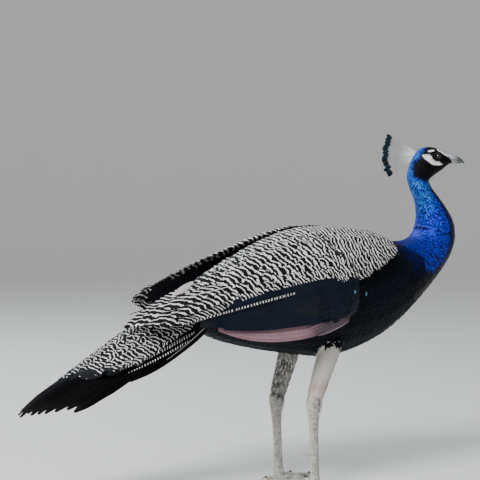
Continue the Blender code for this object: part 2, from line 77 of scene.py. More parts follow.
middle = (cad_box[0] + cad_box[1]) / 2
aim = middle + AIM_OFFSET
level = math.cos(ELEVATION)
backward = Vector((math.sin(AZIMUTH) * level, -math.cos(AZIMUTH) * level, math.sin(ELEVATION)))
camera = bpy.data.objects.new("camera", bpy.data.cameras.new("camera"))
camera.location = aim + backward * DISTANCE
camera.rotation_euler = (-backward).to_track_quat("-Z", "Y").to_euler()
camera.data.sensor_width = SENSOR
camera.data.lens = SENSOR * DISTANCE / FIELD
camera.data.dof.use_dof = False
bpy.context.scene.collection.objects.link(camera)
bpy.context.scene.camera = camera
print("camera at", [round(v, 3) for v in camera.location], "lens", round(camera.data.lens, 1), "mm")

# %% [markdown]
# ## Colours and nodes
#
# Colours are written as the hex values that a paint chart gives. The renderer works in linear
# light, so one function turns them over. One more adds a node, with its settings and its links.
# It gives back the node's output, so that the next node can take it in.

# %% Colour and node helpers
def paint(hex_colour):
    """A linear colour with alpha from an sRGB hex string."""
    parts = [int(hex_colour[i : i + 2], 16) / 255 for i in (1, 3, 5)]
    return (*[c / 12.92 if c <= 0.04045 else ((c + 0.055) / 1.055) ** 2.4 for c in parts], 1.0)


def add(tree, kind, inputs=(), out=0, **settings):
    """Adds a shader node with its settings and links, and returns one of its output sockets, or
    all of them when out is None. inputs maps the name or number of a socket to what goes into
    it: another node's output, a number or a hex colour."""
    made = tree.nodes.new("ShaderNode" + kind)
    for key, value in settings.items():
        setattr(made, key, value)
    for key, value in dict(inputs).items():
        if isinstance(value, bpy.types.NodeSocket):
            tree.links.new(value, made.inputs[key])
        else:
            made.inputs[key].default_value = paint(value) if isinstance(value, str) else value
    return made.outputs if out is None else made.outputs[out]


COLOURS = {"out": 2, "data_type": "RGBA"}  # for a Mix node, whose colours are inputs 6 and 7


def new_material(name, **sockets):
    """A Principled material, its tree and its shader. Sockets are given with _ for a space."""
    made = bpy.data.materials.new(name)
    made.use_nodes = True
    shader = made.node_tree.nodes["Principled BSDF"]
    for key, value in sockets.items():
        shader.inputs[key.replace("_", " ")].default_value = value
    print("material:", name)
    return made, made.node_tree, shader


print("paint('#808080') =", [round(c, 3) for c in paint("#808080")])

# %% [markdown]
# ## Floor and light
#
# A seamless bowl of pale paper stands for a studio sweep, so that no edge shows from any side.
# A large lamp high on the left lights the nape, the wings and the thighs. The breast and belly
# turn away from it and stay dark. A second lamp behind draws the edge of the back and the neck.

# %% Floor and light
FLAT_TO, BEND, TOP = 5.0, 2.0, 7.0  # radii of the bowl's flat part and its bend, and its height
BOWL_AROUND = 96

bowl_profile = [(radius, 0.0) for radius in (1.0, 2.5, 4.0, FLAT_TO)]
for turn in np.linspace(0.2, math.pi / 2, 8):
    bowl_profile.append((FLAT_TO + BEND * math.sin(turn), BEND - BEND * math.cos(turn)))
bowl_profile += [(FLAT_TO + BEND, 4.0), (FLAT_TO + BEND, TOP)]
bowl_points, bowl_faces = [], [range(BOWL_AROUND)]  # the first face is the disc in the middle
for ring, (radius, height) in enumerate(bowl_profile):
    for i in range(BOWL_AROUND):
        turn = 2 * math.pi * i / BOWL_AROUND
        bowl_points.append((radius * math.cos(turn), radius * math.sin(turn), height))
        if ring:
            j = (i + 1) % BOWL_AROUND
            a, b = (ring - 1) * BOWL_AROUND, ring * BOWL_AROUND
            bowl_faces.append((a + i, b + i, b + j, a + j))
bowl_mesh = bpy.data.meshes.new("floor")
bowl_mesh.from_pydata(bowl_points, [], bowl_faces)
bowl_mesh.shade_smooth()
studio_floor = bpy.data.objects.new("floor", bowl_mesh)
bpy.context.scene.collection.objects.link(studio_floor)

# Uncoated paper scatters light evenly, so the bowl shows soft shadows and no gloss.
paper, tree, shader = new_material("paper_matt_pale", Base_Color=paint("#e6e5e1"), Roughness=0.95)
bowl_mesh.materials.append(paper)
LAMPS_FACE = 0.38  # height over the floor's middle at which the lamps point, in metres


def lamp(name, place, size, watts, tint):
    """A square area lamp that faces the bird."""
    made = bpy.data.objects.new(name, bpy.data.lights.new(name, "AREA"))
    made.data.size, made.data.energy = size, watts
    made.data.color = paint(tint)[:3]
    made.location = place
    toward = Vector((0, 0, LAMPS_FACE)) - Vector(place)
    made.rotation_euler = toward.to_track_quat("-Z", "Y").to_euler()
    bpy.context.scene.collection.objects.link(made)


lamp("key_light", (-1.9, -1.5, 2.5), 1.2, 132, "#f8faff")
lamp("back_light", (-0.6, 2.2, 2.4), 1.5, 60, "#eef4ff")
world = bpy.data.worlds.new("studio")
world.use_nodes = True
background = world.node_tree.nodes["Background"]
background.inputs["Color"].default_value = paint("#dfe5ea")
background.inputs["Strength"].default_value = 0.6
bpy.context.scene.world = world
print("floor:", len(bowl_faces), "faces, and two lamps")

# %% [markdown]
# ## Lines of the body
#
# Feathers lie along a bird like tiles along a roof, from the bill to the tail and down each leg.
# So the first thing to set is the line they follow: one down the middle of head, neck, trunk and
# tail, and one down each limb. The same lines unroll the skin flat, as a furrier would.

# %% Lines of the body
HEAD_TURN = math.radians(-20)
HEAD_PIVOT = Vector((0.3591, 0.0, 0.5621))
HEAD_FRAME = Matrix.Translation(HEAD_PIVOT) @ Matrix.Rotation(HEAD_TURN, 4, "Z")


def in_head(ahead, aside, above):
    """A world place from millimetres in the head's own frame."""
    return HEAD_FRAME @ (Vector((ahead, aside, above)) / 1000)


SPINE = [in_head(60, 0, 4), in_head(28, 0, 7), in_head(4, 0, 4), in_head(-10, 0, -16)]
BELOW_THE_HEAD = [  # x and z, metres
    (0.3449, 0.513), (0.3567, 0.498), (0.3690, 0.4775), (0.3740, 0.455), (0.3722, 0.4315),
    (0.3617, 0.410), (0.340, 0.390), (0.309, 0.371), (0.272, 0.354), (0.228, 0.342),
    (0.160, 0.331), (0.08, 0.328), (0.0, 0.322), (-0.08, 0.310), (-0.16, 0.292),
    (-0.24, 0.258), (-0.32, 0.215), (-0.44, 0.145),
]
SPINE += [Vector((x, 0, z)) for x, z in BELOW_THE_HEAD]
LEG_JOINTS = {
    "right": [(0.1274, -0.060, 0.290), (0.0944, -0.055, 0.158), (0.0954, -0.055, 0.0)],
    "left": [(0.1184, 0.060, 0.290), (0.0804, 0.055, 0.151), (0.0844, 0.055, 0.0)],
}
# Degrees that each toe turns outwards, and its length in metres.
TOE_HEADINGS = {"middle": 4, "inner": -30, "outer": 38, "hind": 172}
TOE_LENGTHS = {"middle": 0.064, "inner": 0.045, "outer": 0.049, "hind": 0.024}
TOE_MIDDLE = 0.004  # height of a toe's middle over the floor
SIDES = {"right": -1, "left": 1}

# %% Lines of the limbs
LINES = {"spine": SPINE}
for side_name, side in SIDES.items():
    joints = [Vector(p) for p in LEG_JOINTS[side_name]]
    LINES["thigh_" + side_name] = joints[:2]
    LINES["tarsus_" + side_name] = joints[1:]
    for toe, heading in TOE_HEADINGS.items():
        turn = math.radians(heading) * side
        reach = Vector((math.cos(turn), math.sin(turn), 0)) * TOE_LENGTHS[toe]
        start = joints[2] + Vector((0, 0, TOE_MIDDLE))
        LINES[f"toe_{toe}_{side_name}"] = [start, start + reach]


def along_line(line, points):
    """For each point, how far along the line it lies, the line's direction there, and the point
    of the line beside it, all blended smoothly between the line's pieces."""
    corners = np.array([tuple(p) for p in line])
    starts, pieces = corners[:-1], np.diff(corners, axis=0)
    lengths = np.linalg.norm(pieces, axis=1)
    ways = pieces / lengths[:, None]
    before = np.concatenate([[0], np.cumsum(lengths)[:-1]])
    offset = points[:, None, :] - starts[None]
    share = np.clip(np.einsum("pki,ki->pk", offset, ways) / lengths, 0, 1)
    nearest = starts[None] + ways[None] * (share * lengths)[..., None]
    distance = np.linalg.norm(points[:, None, :] - nearest, axis=2)
    weight = (distance.min(axis=1)[:, None] / np.maximum(distance, 1e-6)) ** 6
    weight /= weight.sum(axis=1)[:, None]
    station = (weight * (before + share * lengths)).sum(axis=1)
    way = np.einsum("pk,ki->pi", weight, ways)
    way /= np.linalg.norm(way, axis=1)[:, None]
    return station, way, np.einsum("pk,pki->pi", weight, nearest)


spine_length = sum((b - a).length for a, b in zip(SPINE, SPINE[1:]))
print("lines:", len(LINES), "and the spine's length is", round(spine_length, 3), "m")

# %% [markdown]
# ## One skin
#
# The solids meet with hairline gaps, which a real bird doesn't have. Copies of them are grown by
# half a millimetre so that they touch, and a voxel remesh turns them into one closed surface. It
# is smoothed, then sunk below the outline by the depth of the plumage that will lie on it. The
# head and the feet are remeshed finer than the trunk, because their forms are smaller.

# %% Skin helpers
def read(mesh, what="vertices", field="co", width=3, kind=np.float32):
    """One field of a mesh as an array."""
    items = getattr(mesh, what)
    values = np.empty(len(items) * width, kind)
    items.foreach_get(field, values)
    return values.reshape(-1, width) if width > 1 else values


def merged(name, nodes, voxel, grow=0.0005):
    """One closed mesh from copies of frame nodes, each grown a little, joined by a voxel remesh."""
    whole = bmesh.new()
    for node_name in nodes:
        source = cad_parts[node_name]
        part = bmesh.new()
        part.from_mesh(source.data)
        part.transform(source.matrix_world)
        bmesh.ops.remove_doubles(part, verts=part.verts, dist=1e-6)
        part.normal_update()
        shifts = [v.normal * grow for v in part.verts]
        for vertex, shift in zip(part.verts, shifts):
            vertex.co += shift
        copied = bpy.data.meshes.new("part")
        part.to_mesh(copied)
        part.free()
        whole.from_mesh(copied)
        bpy.data.meshes.remove(copied)
    mesh = bpy.data.meshes.new(name)
    whole.to_mesh(mesh)
    whole.free()
    holder = bpy.data.objects.new(name, mesh)
    bpy.context.scene.collection.objects.link(holder)
    remesh = holder.modifiers.new("one_surface", "REMESH")
    remesh.mode = "VOXEL"
    remesh.voxel_size = voxel
    graph = bpy.context.evaluated_depsgraph_get()
    made = bpy.data.meshes.new_from_object(holder.evaluated_get(graph))
    made.name = name
    bpy.data.objects.remove(holder)
    return made


# %% Smoothing and vectors of a mesh
def neighbour_mean(values, edges):
    """For each vertex, the mean of a value over the vertices it shares an edge with."""
    count = len(values)
    total = np.zeros_like(values)
    for axis in range(values.shape[1]):
        for a, b in ((0, 1), (1, 0)):
            total[:, axis] += np.bincount(edges[:, a], values[edges[:, b], axis], count)
    return total / np.maximum(np.bincount(edges.ravel(), minlength=count), 1)[:, None]


def relax(mesh, rounds):
    """Smooths a mesh without shrinking it: each round moves inwards, then back out."""
    points = read(mesh).astype(float)
    edges = read(mesh, "edges", "vertices", 2, np.int32)
    for _ in range(rounds):
        for pull in (0.5, -0.52):
            points += pull * (neighbour_mean(points, edges) - points)
    reshape(mesh, points)


def triangles_of(mesh):
    mesh.calc_loop_triangles()
    return read(mesh, "loop_triangles", "vertices", 3, np.int32)


def store(mesh, **fields):
    """Keeps vectors at a mesh's vertices, from which the plumage materials take their marks."""
    for key, values in fields.items():
        layer = mesh.attributes.new(key, "FLOAT_VECTOR", "POINT")
        layer.data.foreach_set("vector", values.astype(np.float32).ravel())


def reshape(mesh, points):
    """Moves a mesh's vertices to new places."""
    mesh.vertices.foreach_set("co", points.astype(np.float32).ravel())
    mesh.update()


# %% Remesh the flesh
WINGS = ["wing_shield_left", "wing_shield_right"]
FLIGHT = ["wing_flight_left", "wing_flight_right"]
THIGHS = ["thigh_left", "thigh_right"]
NECK_AND_TRUNK = ["neck_upper", "neck_lower", "trunk_front", "trunk_rear", "tail_coverts"]
TRUNK = NECK_AND_TRUNK + WINGS + FLIGHT + THIGHS
HEAD = ["head", "neck_upper"]
FEET = [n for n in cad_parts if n.startswith(("tarsus_", "toe_"))]
ALL_FLESH = sorted(set(TRUNK + HEAD + FEET))
# Solids, voxel size in metres and rounds of smoothing of each region.
REGIONS = {"trunk": (TRUNK, 0.0038, 12), "head": (HEAD, 0.0013, 12), "feet": (FEET, 0.0013, 3)}

flesh = {}
for region, (nodes, voxel, rounds) in REGIONS.items():
    flesh[region] = merged("flesh_" + region, nodes, voxel)
    relax(flesh[region], rounds)
    print(region, "skin:", len(flesh[region].vertices), "vertices")

# %% [markdown]
# Each point of the skin is then named for the solid it came from, so that every tract of plumage
# can have its own feathers. The plumage depth is different in each, and blends at their borders.
# Where a wing's edge is thin, it is sunk by less than half of its thickness.

# %% Name the skin's points and sink it
# Depth of the plumage on each solid, in millimetres.
DEPTHS = {"neck_upper": 1.2, "neck_lower": 1.8, "trunk_front": 3.2, "trunk_rear": 3.2}
DEPTHS.update({"tail_coverts": 2.0, "head": 0.8, "thigh_left": 1.8, "thigh_right": 1.8})
DEPTHS.update({name: 2.8 for name in WINGS + FLIGHT})
BARE_DEPTH = 0.2  # feet and toes have no plumage, only scales
NECK_END_DEPTH = 4.0  # the trunk's neck end goes inside the finer skin of the head
THIN_SHARE = 0.42  # most of a thin edge's thickness that it may sink by
BLEND_ROUNDS = 20

source_points, source_faces, source_names = [], [], []
for name in ALL_FLESH:
    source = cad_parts[name]
    base = len(source_points)
    source_points += [tuple(source.matrix_world @ v.co) for v in source.data.vertices]
    source_faces += [tuple(base + i for i in p.vertices) for p in source.data.polygons]
    source_names += [name] * len(source.data.polygons)
source_tree = BVHTree.FromPolygons(source_points, source_faces)


def sink(mesh, depths):
    """Moves a skin inwards by each vertex's depth in millimetres, less where it is thin."""
    points = read(mesh).astype(float)
    normals = read(mesh, "vertex_normals", "vector").astype(float)
    edges = read(mesh, "edges", "vertices", 2, np.int32)
    tree = BVHTree.FromPolygons(points.tolist(), triangles_of(mesh).tolist())
    depth = depths / 1000
    for i, (place, normal) in enumerate(zip(points - normals * 1e-4, normals)):
        distance = tree.ray_cast(Vector(place), Vector(-normal), 0.03)[3]
        if distance is not None:
            depth[i] = min(depth[i], distance * THIN_SHARE)
    for _ in range(6):
        depth = np.minimum(depth, neighbour_mean(depth[:, None], edges)[:, 0])
    reshape(mesh, points - normals * depth[:, None])


owners = {}
for region, mesh in flesh.items():
    nearest = [source_names[source_tree.find_nearest(p)[2]] for p in read(mesh).tolist()]
    owners[region] = np.array([ALL_FLESH.index(name) for name in nearest])
    depths = np.array([DEPTHS.get(name, BARE_DEPTH) for name in nearest])
    doubled = (owners[region] == ALL_FLESH.index("neck_upper")) & (region == "trunk")
    depths[doubled] = 0.0
    edges = read(mesh, "edges", "vertices", 2, np.int32)
    for _ in range(BLEND_ROUNDS):
        depths = neighbour_mean(depths[:, None], edges)[:, 0]
    depths[doubled] = NECK_END_DEPTH
    sink(mesh, depths)
    print(region, "skin sunk by up to", depths.max(), "mm")

# %% [markdown]
# ## Markings
#
# The bird's colours are drawn as outlines on its side, in millimetres: where blue gives way to
# black on neck and head, and the bare white skin above and below the eye. Along the front of the
# neck that black is partly painted shade, where the neck turns away from the lamp. A point's
# distance from an outline, plus inside and minus outside, is stored on skin and feathers alike.
# The materials turn that distance into an edge that is as crisp or as soft as the real one.

# %% Outlines of the markings
# Ahead and above, in millimetres from the middle of the head. In the head they turn with it.
# Black on face and breast. The band along the front of the neck is partly painted shade, where the
# neck turns away from the lamp.
BLACK_FACE_BREAST_AND_SHADED_NECK_FRONT = [
    (0, 30), (-14, 17), (-19, 7), (-28, 2), (-31, -11), (-30, -26), (-22, -31), (-11, -33),
    (0, -36), (-1, -44), (-6, -52), (5, -68), (15, -86), (22, -104), (24, -122), (20, -147),
    (5, -174), (-12, -182), (-27, -196), (-48, -188), (-50, -165), (-67, -156), (-78, -141),
    (-300, -130), (-300, -500), (200, -500), (200, 90), (-6, 90),
]
BELOW_THE_EYE = [
    (-15.6, 13.4), (-9.7, 14.6), (-0.6, 14.6), (3.3, 10.9), (4.1, 6.2), (8.7, 2.4), (16.6, 1.7),
    (25.0, -4.0), (16.6, -6.0), (3.4, -4.6), (-4.3, 1.2), (-11.0, 6.2),
]
BEHIND_THE_BROW = [(-4.4, 19.8), (0.2, 22.6), (9.4, 22.3), (8.5, 19.5), (-1.6, 18.0)]
BROW = [
    (14.0, 24.5), (22.0, 20.5), (30.0, 15.5), (40.0, 11.5), (38.0, 7.8), (27.5, 12.6), (20, 17.2),
    (14.0, 21.3),
]
WHITE_PATCHES = [BELOW_THE_EYE, BEHIND_THE_BROW, BROW]


# %% Distance from the outlines
def depth_inside(outline, places):
    """Distance in millimetres from a closed outline to each flat place: plus inside, minus out."""
    a = np.array(outline, float)
    b = np.roll(a, -1, axis=0)
    nearest = np.full(places.shape[:-1], np.inf)
    inside = np.zeros(places.shape[:-1], bool)
    for (ax, ay), (bx, by) in zip(a, b):
        px, py = places[..., 0] - ax, places[..., 1] - ay
        dx, dy = bx - ax, by - ay
        share = np.clip((px * dx + py * dy) / (dx * dx + dy * dy), 0, 1)
        nearest = np.minimum(nearest, np.hypot(px - share * dx, py - share * dy))
        crosses = (py < 0) != (py < dy)
        if dy:
            inside ^= crosses & (px < dx * py / dy)
    return np.where(inside, nearest, -nearest)


TO_HEAD = np.array(HEAD_FRAME.inverted())


def side_view(points):
    """Ahead, aside and above in millimetres. In the head the axes turn with it; below it they
    are the body's own."""
    local = points @ TO_HEAD[:3, :3].T + TO_HEAD[:3, 3]
    plain = points - np.array(HEAD_PIVOT)
    blend = np.clip((points[..., 2:3] - 0.505) / 0.03, 0, 1)
    return (plain + (local - plain) * blend) * 1000


def blue_marks(points):
    """How far inside the blue each point lies, and a second tint: on blue how much of it is the
    nape's paler azure, a painted highlight where the lamp lights the nape, and on black how much
    dark navy the front of the neck has, where its black is partly painted shade."""
    view = side_view(points)
    ahead, above = view[..., 0], view[..., 2]
    blue = -depth_inside(BLACK_FACE_BREAST_AND_SHADED_NECK_FRONT, view[..., [0, 2]])
    # painted highlight: the paler azure on the nape, the side that the lamp lights
    behind = np.clip((8 + 0.35 * (above + 60) - ahead) / 22, 0, 1)
    azure = behind * np.clip((above + 118) / 40, 0, 1)
    # on the black of throat and breast, partly painted shade along the neck's front, a dark navy
    throat_and_breast = np.clip((above + 205) / 40, 0, 1) * np.clip((-30 - above) / 20, 0, 1)
    navy = throat_and_breast * np.clip(-blue / 6, 0, 1)
    return blue, np.maximum(azure * (blue > 0), navy)


def white_marks(points):
    """How far inside the bare white skin of the face each point lies."""
    view = side_view(points)
    flat = view[..., [0, 2]]
    inside = np.max([depth_inside(outline, flat) for outline in WHITE_PATCHES], axis=0)
    return np.minimum(inside, np.abs(view[..., 1]) - 4.0)


print("outlines:", 1 + len(WHITE_PATCHES))

# %% [markdown]
# The bars of the wing run in two families. On the shoulder they are arcs round its top, about
# six and a half millimetres apart. Behind a slanting line they belong to the scapulars, and are
# arcs round a place below the rump. There they are coarsest in the wing's middle band, and finer
# towards its edges and its rear. On the tail's base they are nearly straight.

# %% Phase of the bars
SHOULDER_CENTRE = np.array([0.256, 0.435])  # x and z, metres
SCAPULAR_CENTRE = np.array([-0.213, 0.163])
SEAM = np.array([[0.090, 0.445], [0.146, 0.375]])  # the line where the two families meet
SEAM_TOP = np.array([0.086, 0.0, 0.450])  # on the wing's ridge, where they are joined in phase
# x, then the heights of the shield's lower and upper edge there, in metres
SHIELD_EDGES = np.array([
    (-0.18, 0.323, 0.340), (-0.12, 0.325, 0.375), (-0.06, 0.340, 0.403), (0.0, 0.357, 0.433),
    (0.06, 0.367, 0.451), (0.12, 0.364, 0.455), (0.18, 0.380, 0.448), (0.25, 0.402, 0.428),
])
# Spacings of the bars, in metres. The scapulars' is looked up by the height on the shield, and
# scaled by the place along the wing.
FINE_BARS = 0.0066
SCAPULAR_BARS = ([0.0, 0.12, 0.35, 0.65, 0.9], [0.0056, 0.0064, 0.0096, 0.0090, 0.0066])
ALONG_THE_WING = ([-0.15, -0.09, -0.03, 0.05, 0.1], [0.78, 0.92, 1.0, 0.92, 0.80])
REAR_BARS, FRONT_BARS = 0.0092, 0.0068  # their mean at the two ends of the reach below
REAR_REACH, REACH_SPAN = 0.2, 0.28  # distances from the scapulars' centre


def past_seam(points):
    """How far in front of the line where shoulder feathers meet scapulars each place lies."""
    (x0, z0), (x1, z1) = SEAM
    return points[..., 0] - x0 - (points[..., 2] - z0) * (x1 - x0) / (z1 - z0)


def up_the_shield(points):
    """How high each place lies on the shield: 0 at its lower edge and 1 at the upper."""
    low, high = (np.interp(points[..., 0], SHIELD_EDGES[:, 0], SHIELD_EDGES[:, i]) for i in (1, 2))
    return (points[..., 2] - low) / (high - low)


def scapular_spacing(points):
    """Spacing of the bars that a scapular rooted at each place carries, in metres."""
    spacing = np.interp(up_the_shield(points), *SCAPULAR_BARS)
    return spacing * np.interp(points[..., 0], *ALONG_THE_WING)


def shoulder_turns(points):
    return np.linalg.norm(points[..., [0, 2]] - SHOULDER_CENTRE, axis=-1) / FINE_BARS


def scapular_turns(points, roots):
    """Turns from the centre out to the root at the mean spacing, then at the root's own."""
    radius = np.linalg.norm(points[..., [0, 2]] - SCAPULAR_CENTRE, axis=-1)
    root_radius = np.linalg.norm(roots[..., [0, 2]] - SCAPULAR_CENTRE, axis=-1)
    slope = (FRONT_BARS - REAR_BARS) / REACH_SPAN
    at_root = np.log(REAR_BARS + slope * (root_radius - REAR_REACH)) / slope
    return at_root + (radius - root_radius) / scapular_spacing(roots)


def bar_phase(points, roots, tract):
    """Turns of the bar pattern at each point. A whole feather keeps to its root's family."""
    if tract == "tail_coverts":
        return (points[..., 0] * 0.55 + points[..., 2] * 0.83) / FINE_BARS
    at_seam = scapular_turns(SEAM_TOP, SEAM_TOP) + shoulder_turns(SEAM_TOP)
    joined = at_seam - shoulder_turns(points)
    return np.where(past_seam(roots) > 0, joined, scapular_turns(points, roots))


print("turns of the bars at the seam's top:", round(float(shoulder_turns(SEAM_TOP)), 2))


# %% [markdown]
# ## Where feathers grow and which way they lie
#
# Feather roots are spread evenly but not in rows: many places are drawn on the skin, and each is
# kept if no kept one is nearer than the spacing of its tract. Spacing is finest round the face
# and coarsest on the wing. The lie follows the body's lines. On the folded wing the feathers
# fan out from the top of the shoulder, then run backwards and down, along its two edges.

# %% The skin as one ground to grow from
rng = np.random.default_rng(41)
points_of, normals_of, faces_of, owner_of, region_of = [], [], [], [], []
base = 0
for region, mesh in flesh.items():
    triangles = triangles_of(mesh)
    points_of.append(read(mesh).astype(float))
    normals_of.append(read(mesh, "vertex_normals", "vector").astype(float))
    faces_of.append(triangles + base)
    owner_of.append(owners[region])
    region_of += [region] * len(triangles)
    base += len(mesh.vertices)
ground_points, ground_faces = np.concatenate(points_of), np.concatenate(faces_of)
ground_tree = BVHTree.FromPolygons(ground_points.tolist(), ground_faces.tolist())
corners = ground_points[ground_faces]
face_normals = np.concatenate(normals_of)[ground_faces].mean(axis=1)
face_normals /= np.linalg.norm(face_normals, axis=1)[:, None]
crossed = np.cross(corners[:, 1] - corners[:, 0], corners[:, 2] - corners[:, 0])
face_area = np.linalg.norm(crossed, axis=1) / 2
face_owner = np.concatenate(owner_of)[ground_faces[:, 0]]
face_region = np.array(region_of)
print("ground:", len(ground_faces), "triangles,", round(face_area.sum(), 3), "square metres")

# %% The lie of the plumage
def side_of(name):
    return SIDES[name.rsplit("_", 1)[1]]


def lie_of(name, points):
    """The direction in which feathers of one tract point, at each place."""
    if name in WINGS + FLIGHT:
        fan = points[:, [0, 2]] - SHOULDER_CENTRE
        reach = np.linalg.norm(fan, axis=1)
        fan /= np.maximum(reach, 1e-6)[:, None]
        slope = np.radians(np.interp(up_the_shield(points), [0, 1], [15, 27]))
        back = np.stack([-np.cos(slope), -np.sin(slope)], axis=1)
        blend = np.clip((reach - 0.02) / 0.14, 0, 1)[:, None]
        flat = fan * (1 - blend) + back * blend
        spread = np.interp(points[:, 2], [0.38, 0.44], [0.0, 0.3]) * side_of(name)
        return np.stack([flat[:, 0], spread, flat[:, 1]], axis=1)
    return along_line(LINES.get(name, SPINE), points)[1]


# %% Feather roots
def thin_out(points, spacing):
    """Goes through the points in order and keeps each that has its spacing clear of kept ones."""
    cell = float(spacing.max())
    grid, kept = {}, []
    keys = np.floor(points / cell).astype(int).tolist()
    around = [(a, b, c) for a in (-1, 0, 1) for b in (-1, 0, 1) for c in (-1, 0, 1)]
    for i, (place, room, key) in enumerate(zip(points.tolist(), (spacing**2).tolist(), keys)):
        x, y, z = place
        cells = [grid.get((key[0] + a, key[1] + b, key[2] + c), ()) for a, b, c in around]
        near = (p for cell_points in cells for p in cell_points)
        if all((p[0] - x) ** 2 + (p[1] - y) ** 2 + (p[2] - z) ** 2 >= room for p in near):
            kept.append(i)
            grid.setdefault(tuple(key), []).append(place)
    return np.array(kept)


TRIES = 7  # places drawn for each root that would fill the tract


def roots_on(name, spacing_of, allowed=None, region="trunk"):
    """Evenly spread roots on one tract: places, normals, lie and spacing. spacing_of and allowed
    take places and normals."""
    mine = (face_owner == ALL_FLESH.index(name)) & (face_region == region)
    faces = np.flatnonzero(mine)
    room = spacing_of(corners[faces].mean(axis=1), face_normals[faces])
    chance = face_area[faces] / room**2
    count = int(chance.sum() * TRIES)
    chosen = rng.choice(len(faces), count, p=chance / chance.sum())
    u, v = rng.random(count), rng.random(count)
    flip = u + v > 1
    u, v = np.where(flip, 1 - u, u), np.where(flip, 1 - v, v)
    weights = np.stack([1 - u - v, u, v], axis=1)[..., None]
    places = (corners[faces[chosen]] * weights).sum(axis=1)
    normals = face_normals[faces[chosen]]
    if allowed is not None:
        fit = allowed(places, normals)
        places, normals = places[fit], normals[fit]
    kept = thin_out(places, spacing_of(places, normals))
    places, normals = places[kept], normals[kept]
    bed = {"places": places, "normals": normals, "ways": lie_of(name, places)}
    return {**bed, "room": spacing_of(places, normals), "tract": name}


def evenly(millimetres):
    """The same spacing everywhere."""
    return lambda places, normals: np.full(len(places), millimetres / 1000)


def unrolled(name, points):
    """Places on the flattened skin: along the body's line in metres, and round it as an angle."""
    station, way, nearest = along_line(LINES.get(name, SPINE), points)
    over = np.cross(way, (0.0, 1.0, 0.0))
    over /= np.maximum(np.linalg.norm(over, axis=1), 1e-6)[:, None]
    offset = points - nearest
    return np.stack([station, np.arctan2(offset[:, 1], (offset * over).sum(axis=1))], axis=1)


# %% [markdown]
# ## A feather's vane
#
# Every feather here is a closed thin body: a cambered sheet above, and two facets below that meet
# under the shaft like a keel. Its root is sunk in the skin and its tip stands a little proud, so
# that each lies over the next. All feathers of a tract are one mesh, built as arrays: the same
# faces again and again, with each feather's own points.

# %% Vane pattern
def vane_pattern(rows, across):
    """Faces of one vane, for each corner of each face its place on a unit patch, and how many
    points a vane has."""
    wide = len(across)
    half = wide // 2
    faces, corner_uvs = [], []

    def corner(i, j):  # j is None on the keel
        index = (rows + 1) * wide + i - 1 if j is None else i * wide + j
        return index, 0.0 if j is None else across[j], i / rows

    def face(under, *places):
        start, size = (0.66, 0.34) if under else (0.0, 0.6)
        found = [corner(i, j) for i, j in places]
        faces.append([index for index, _, _ in found])
        corner_uvs.append([(start + size * (t + 1) / 2, share) for _, t, share in found])

    for i in range(rows):
        for j in range(wide - 1):
            face(False, (i, j), (i, j + 1), (i + 1, j + 1), (i + 1, j))
    edge, last = wide - 1, rows - 1
    face(True, (0, 0), (1, 0), (1, None), *[(0, j) for j in range(half, 0, -1)])
    face(True, (0, half), (1, None), (1, edge), *[(0, j) for j in range(edge, half, -1)])
    for i in range(1, last):
        face(True, (i, 0), (i + 1, 0), (i + 1, None), (i, None))
        face(True, (i, None), (i + 1, None), (i + 1, edge), (i, edge))
    face(True, (last, 0), *[(rows, j) for j in range(half + 1)], (last, None))
    face(True, (last, None), *[(rows, j) for j in range(half, wide)], (last, edge))
    return faces, corner_uvs, (rows + 1) * wide + rows - 1


# %% Lay feathers along the skin
def march(bed, lengths, rows, reach):
    """Follows the skin from each root along the lie, one step a row, and flies straight on where
    it falls away. Returns places, directions and normals: feathers x rows + 1 x 3."""
    places, ways, ups = (np.empty((len(lengths), rows + 1, 3)) for _ in range(3))
    for k, length in enumerate(lengths):
        place, up, way = (Vector(bed[key][k]) for key in ("places", "normals", "ways"))
        way = (way - up * way.dot(up)).normalized()
        for i in range(rows + 1):
            places[k, i], ways[k, i], ups[k, i] = place, way, up
            step = length / rows
            place = place + way * step
            found, _, face, _ = ground_tree.find_nearest(place, reach)
            held = found is not None and (found - place).dot(way) > -0.4 * step
            if held and up.dot(Vector(face_normals[face])) > 0.3:
                place = found
                up = (up + Vector(face_normals[face])).normalized()
            way = (way - up * way.dot(up)).normalized()
    return places, ways, ups


def overshoot(points):
    """How far each point stands outside the solids' outline, in metres; minus inside."""
    far = np.empty(len(points))
    for i, point in enumerate(points.tolist()):
        found, normal, _, distance = source_tree.find_nearest(point)
        far[i] = math.copysign(distance, (Vector(point) - found).dot(normal))
    return far


def lay_out(bed, lengths, rows, reach=0.005, overhang=0.003):
    """Lays feathers on the skin, and shortens those whose tips would leave the outline."""
    places, ways, ups = march(bed, lengths, rows, reach)
    for _ in range(2):
        long = np.flatnonzero(overshoot(places[:, -1]) > overhang)
        if not len(long):
            break
        lengths[long] *= 0.72
        shorter = {key: bed[key][long] for key in ("places", "normals", "ways")}
        places[long], ways[long], ups[long] = march(shorter, lengths[long], rows, reach)
    return places, ways, ups


# %% Single feathers, and those to leave out
BED_ARRAYS = ("places", "normals", "ways", "room")


def bed_where(tract, rays, way, room, below=1.0):
    """A bed of single feathers or plates, rooted where rays meet the skin below some height."""
    hits = [ground_tree.ray_cast(start, toward)[:2] for start, toward in rays]
    hits = [(place, normal) for place, normal in hits if place is not None and place.z < below]
    places, normals = (np.array([tuple(pair[i]) for pair in hits]) for i in (0, 1))
    ways = np.tile(tuple(way), (len(hits), 1))
    bed = {"places": places, "normals": normals, "ways": ways}
    return {**bed, "room": np.full(len(hits), room), "tract": tract}


def straightness(path):
    """How nearly each feather's tip points the way its root does: 1 for a straight feather."""
    return (path[1][:, 0] * path[1][:, -1]).sum(axis=1)


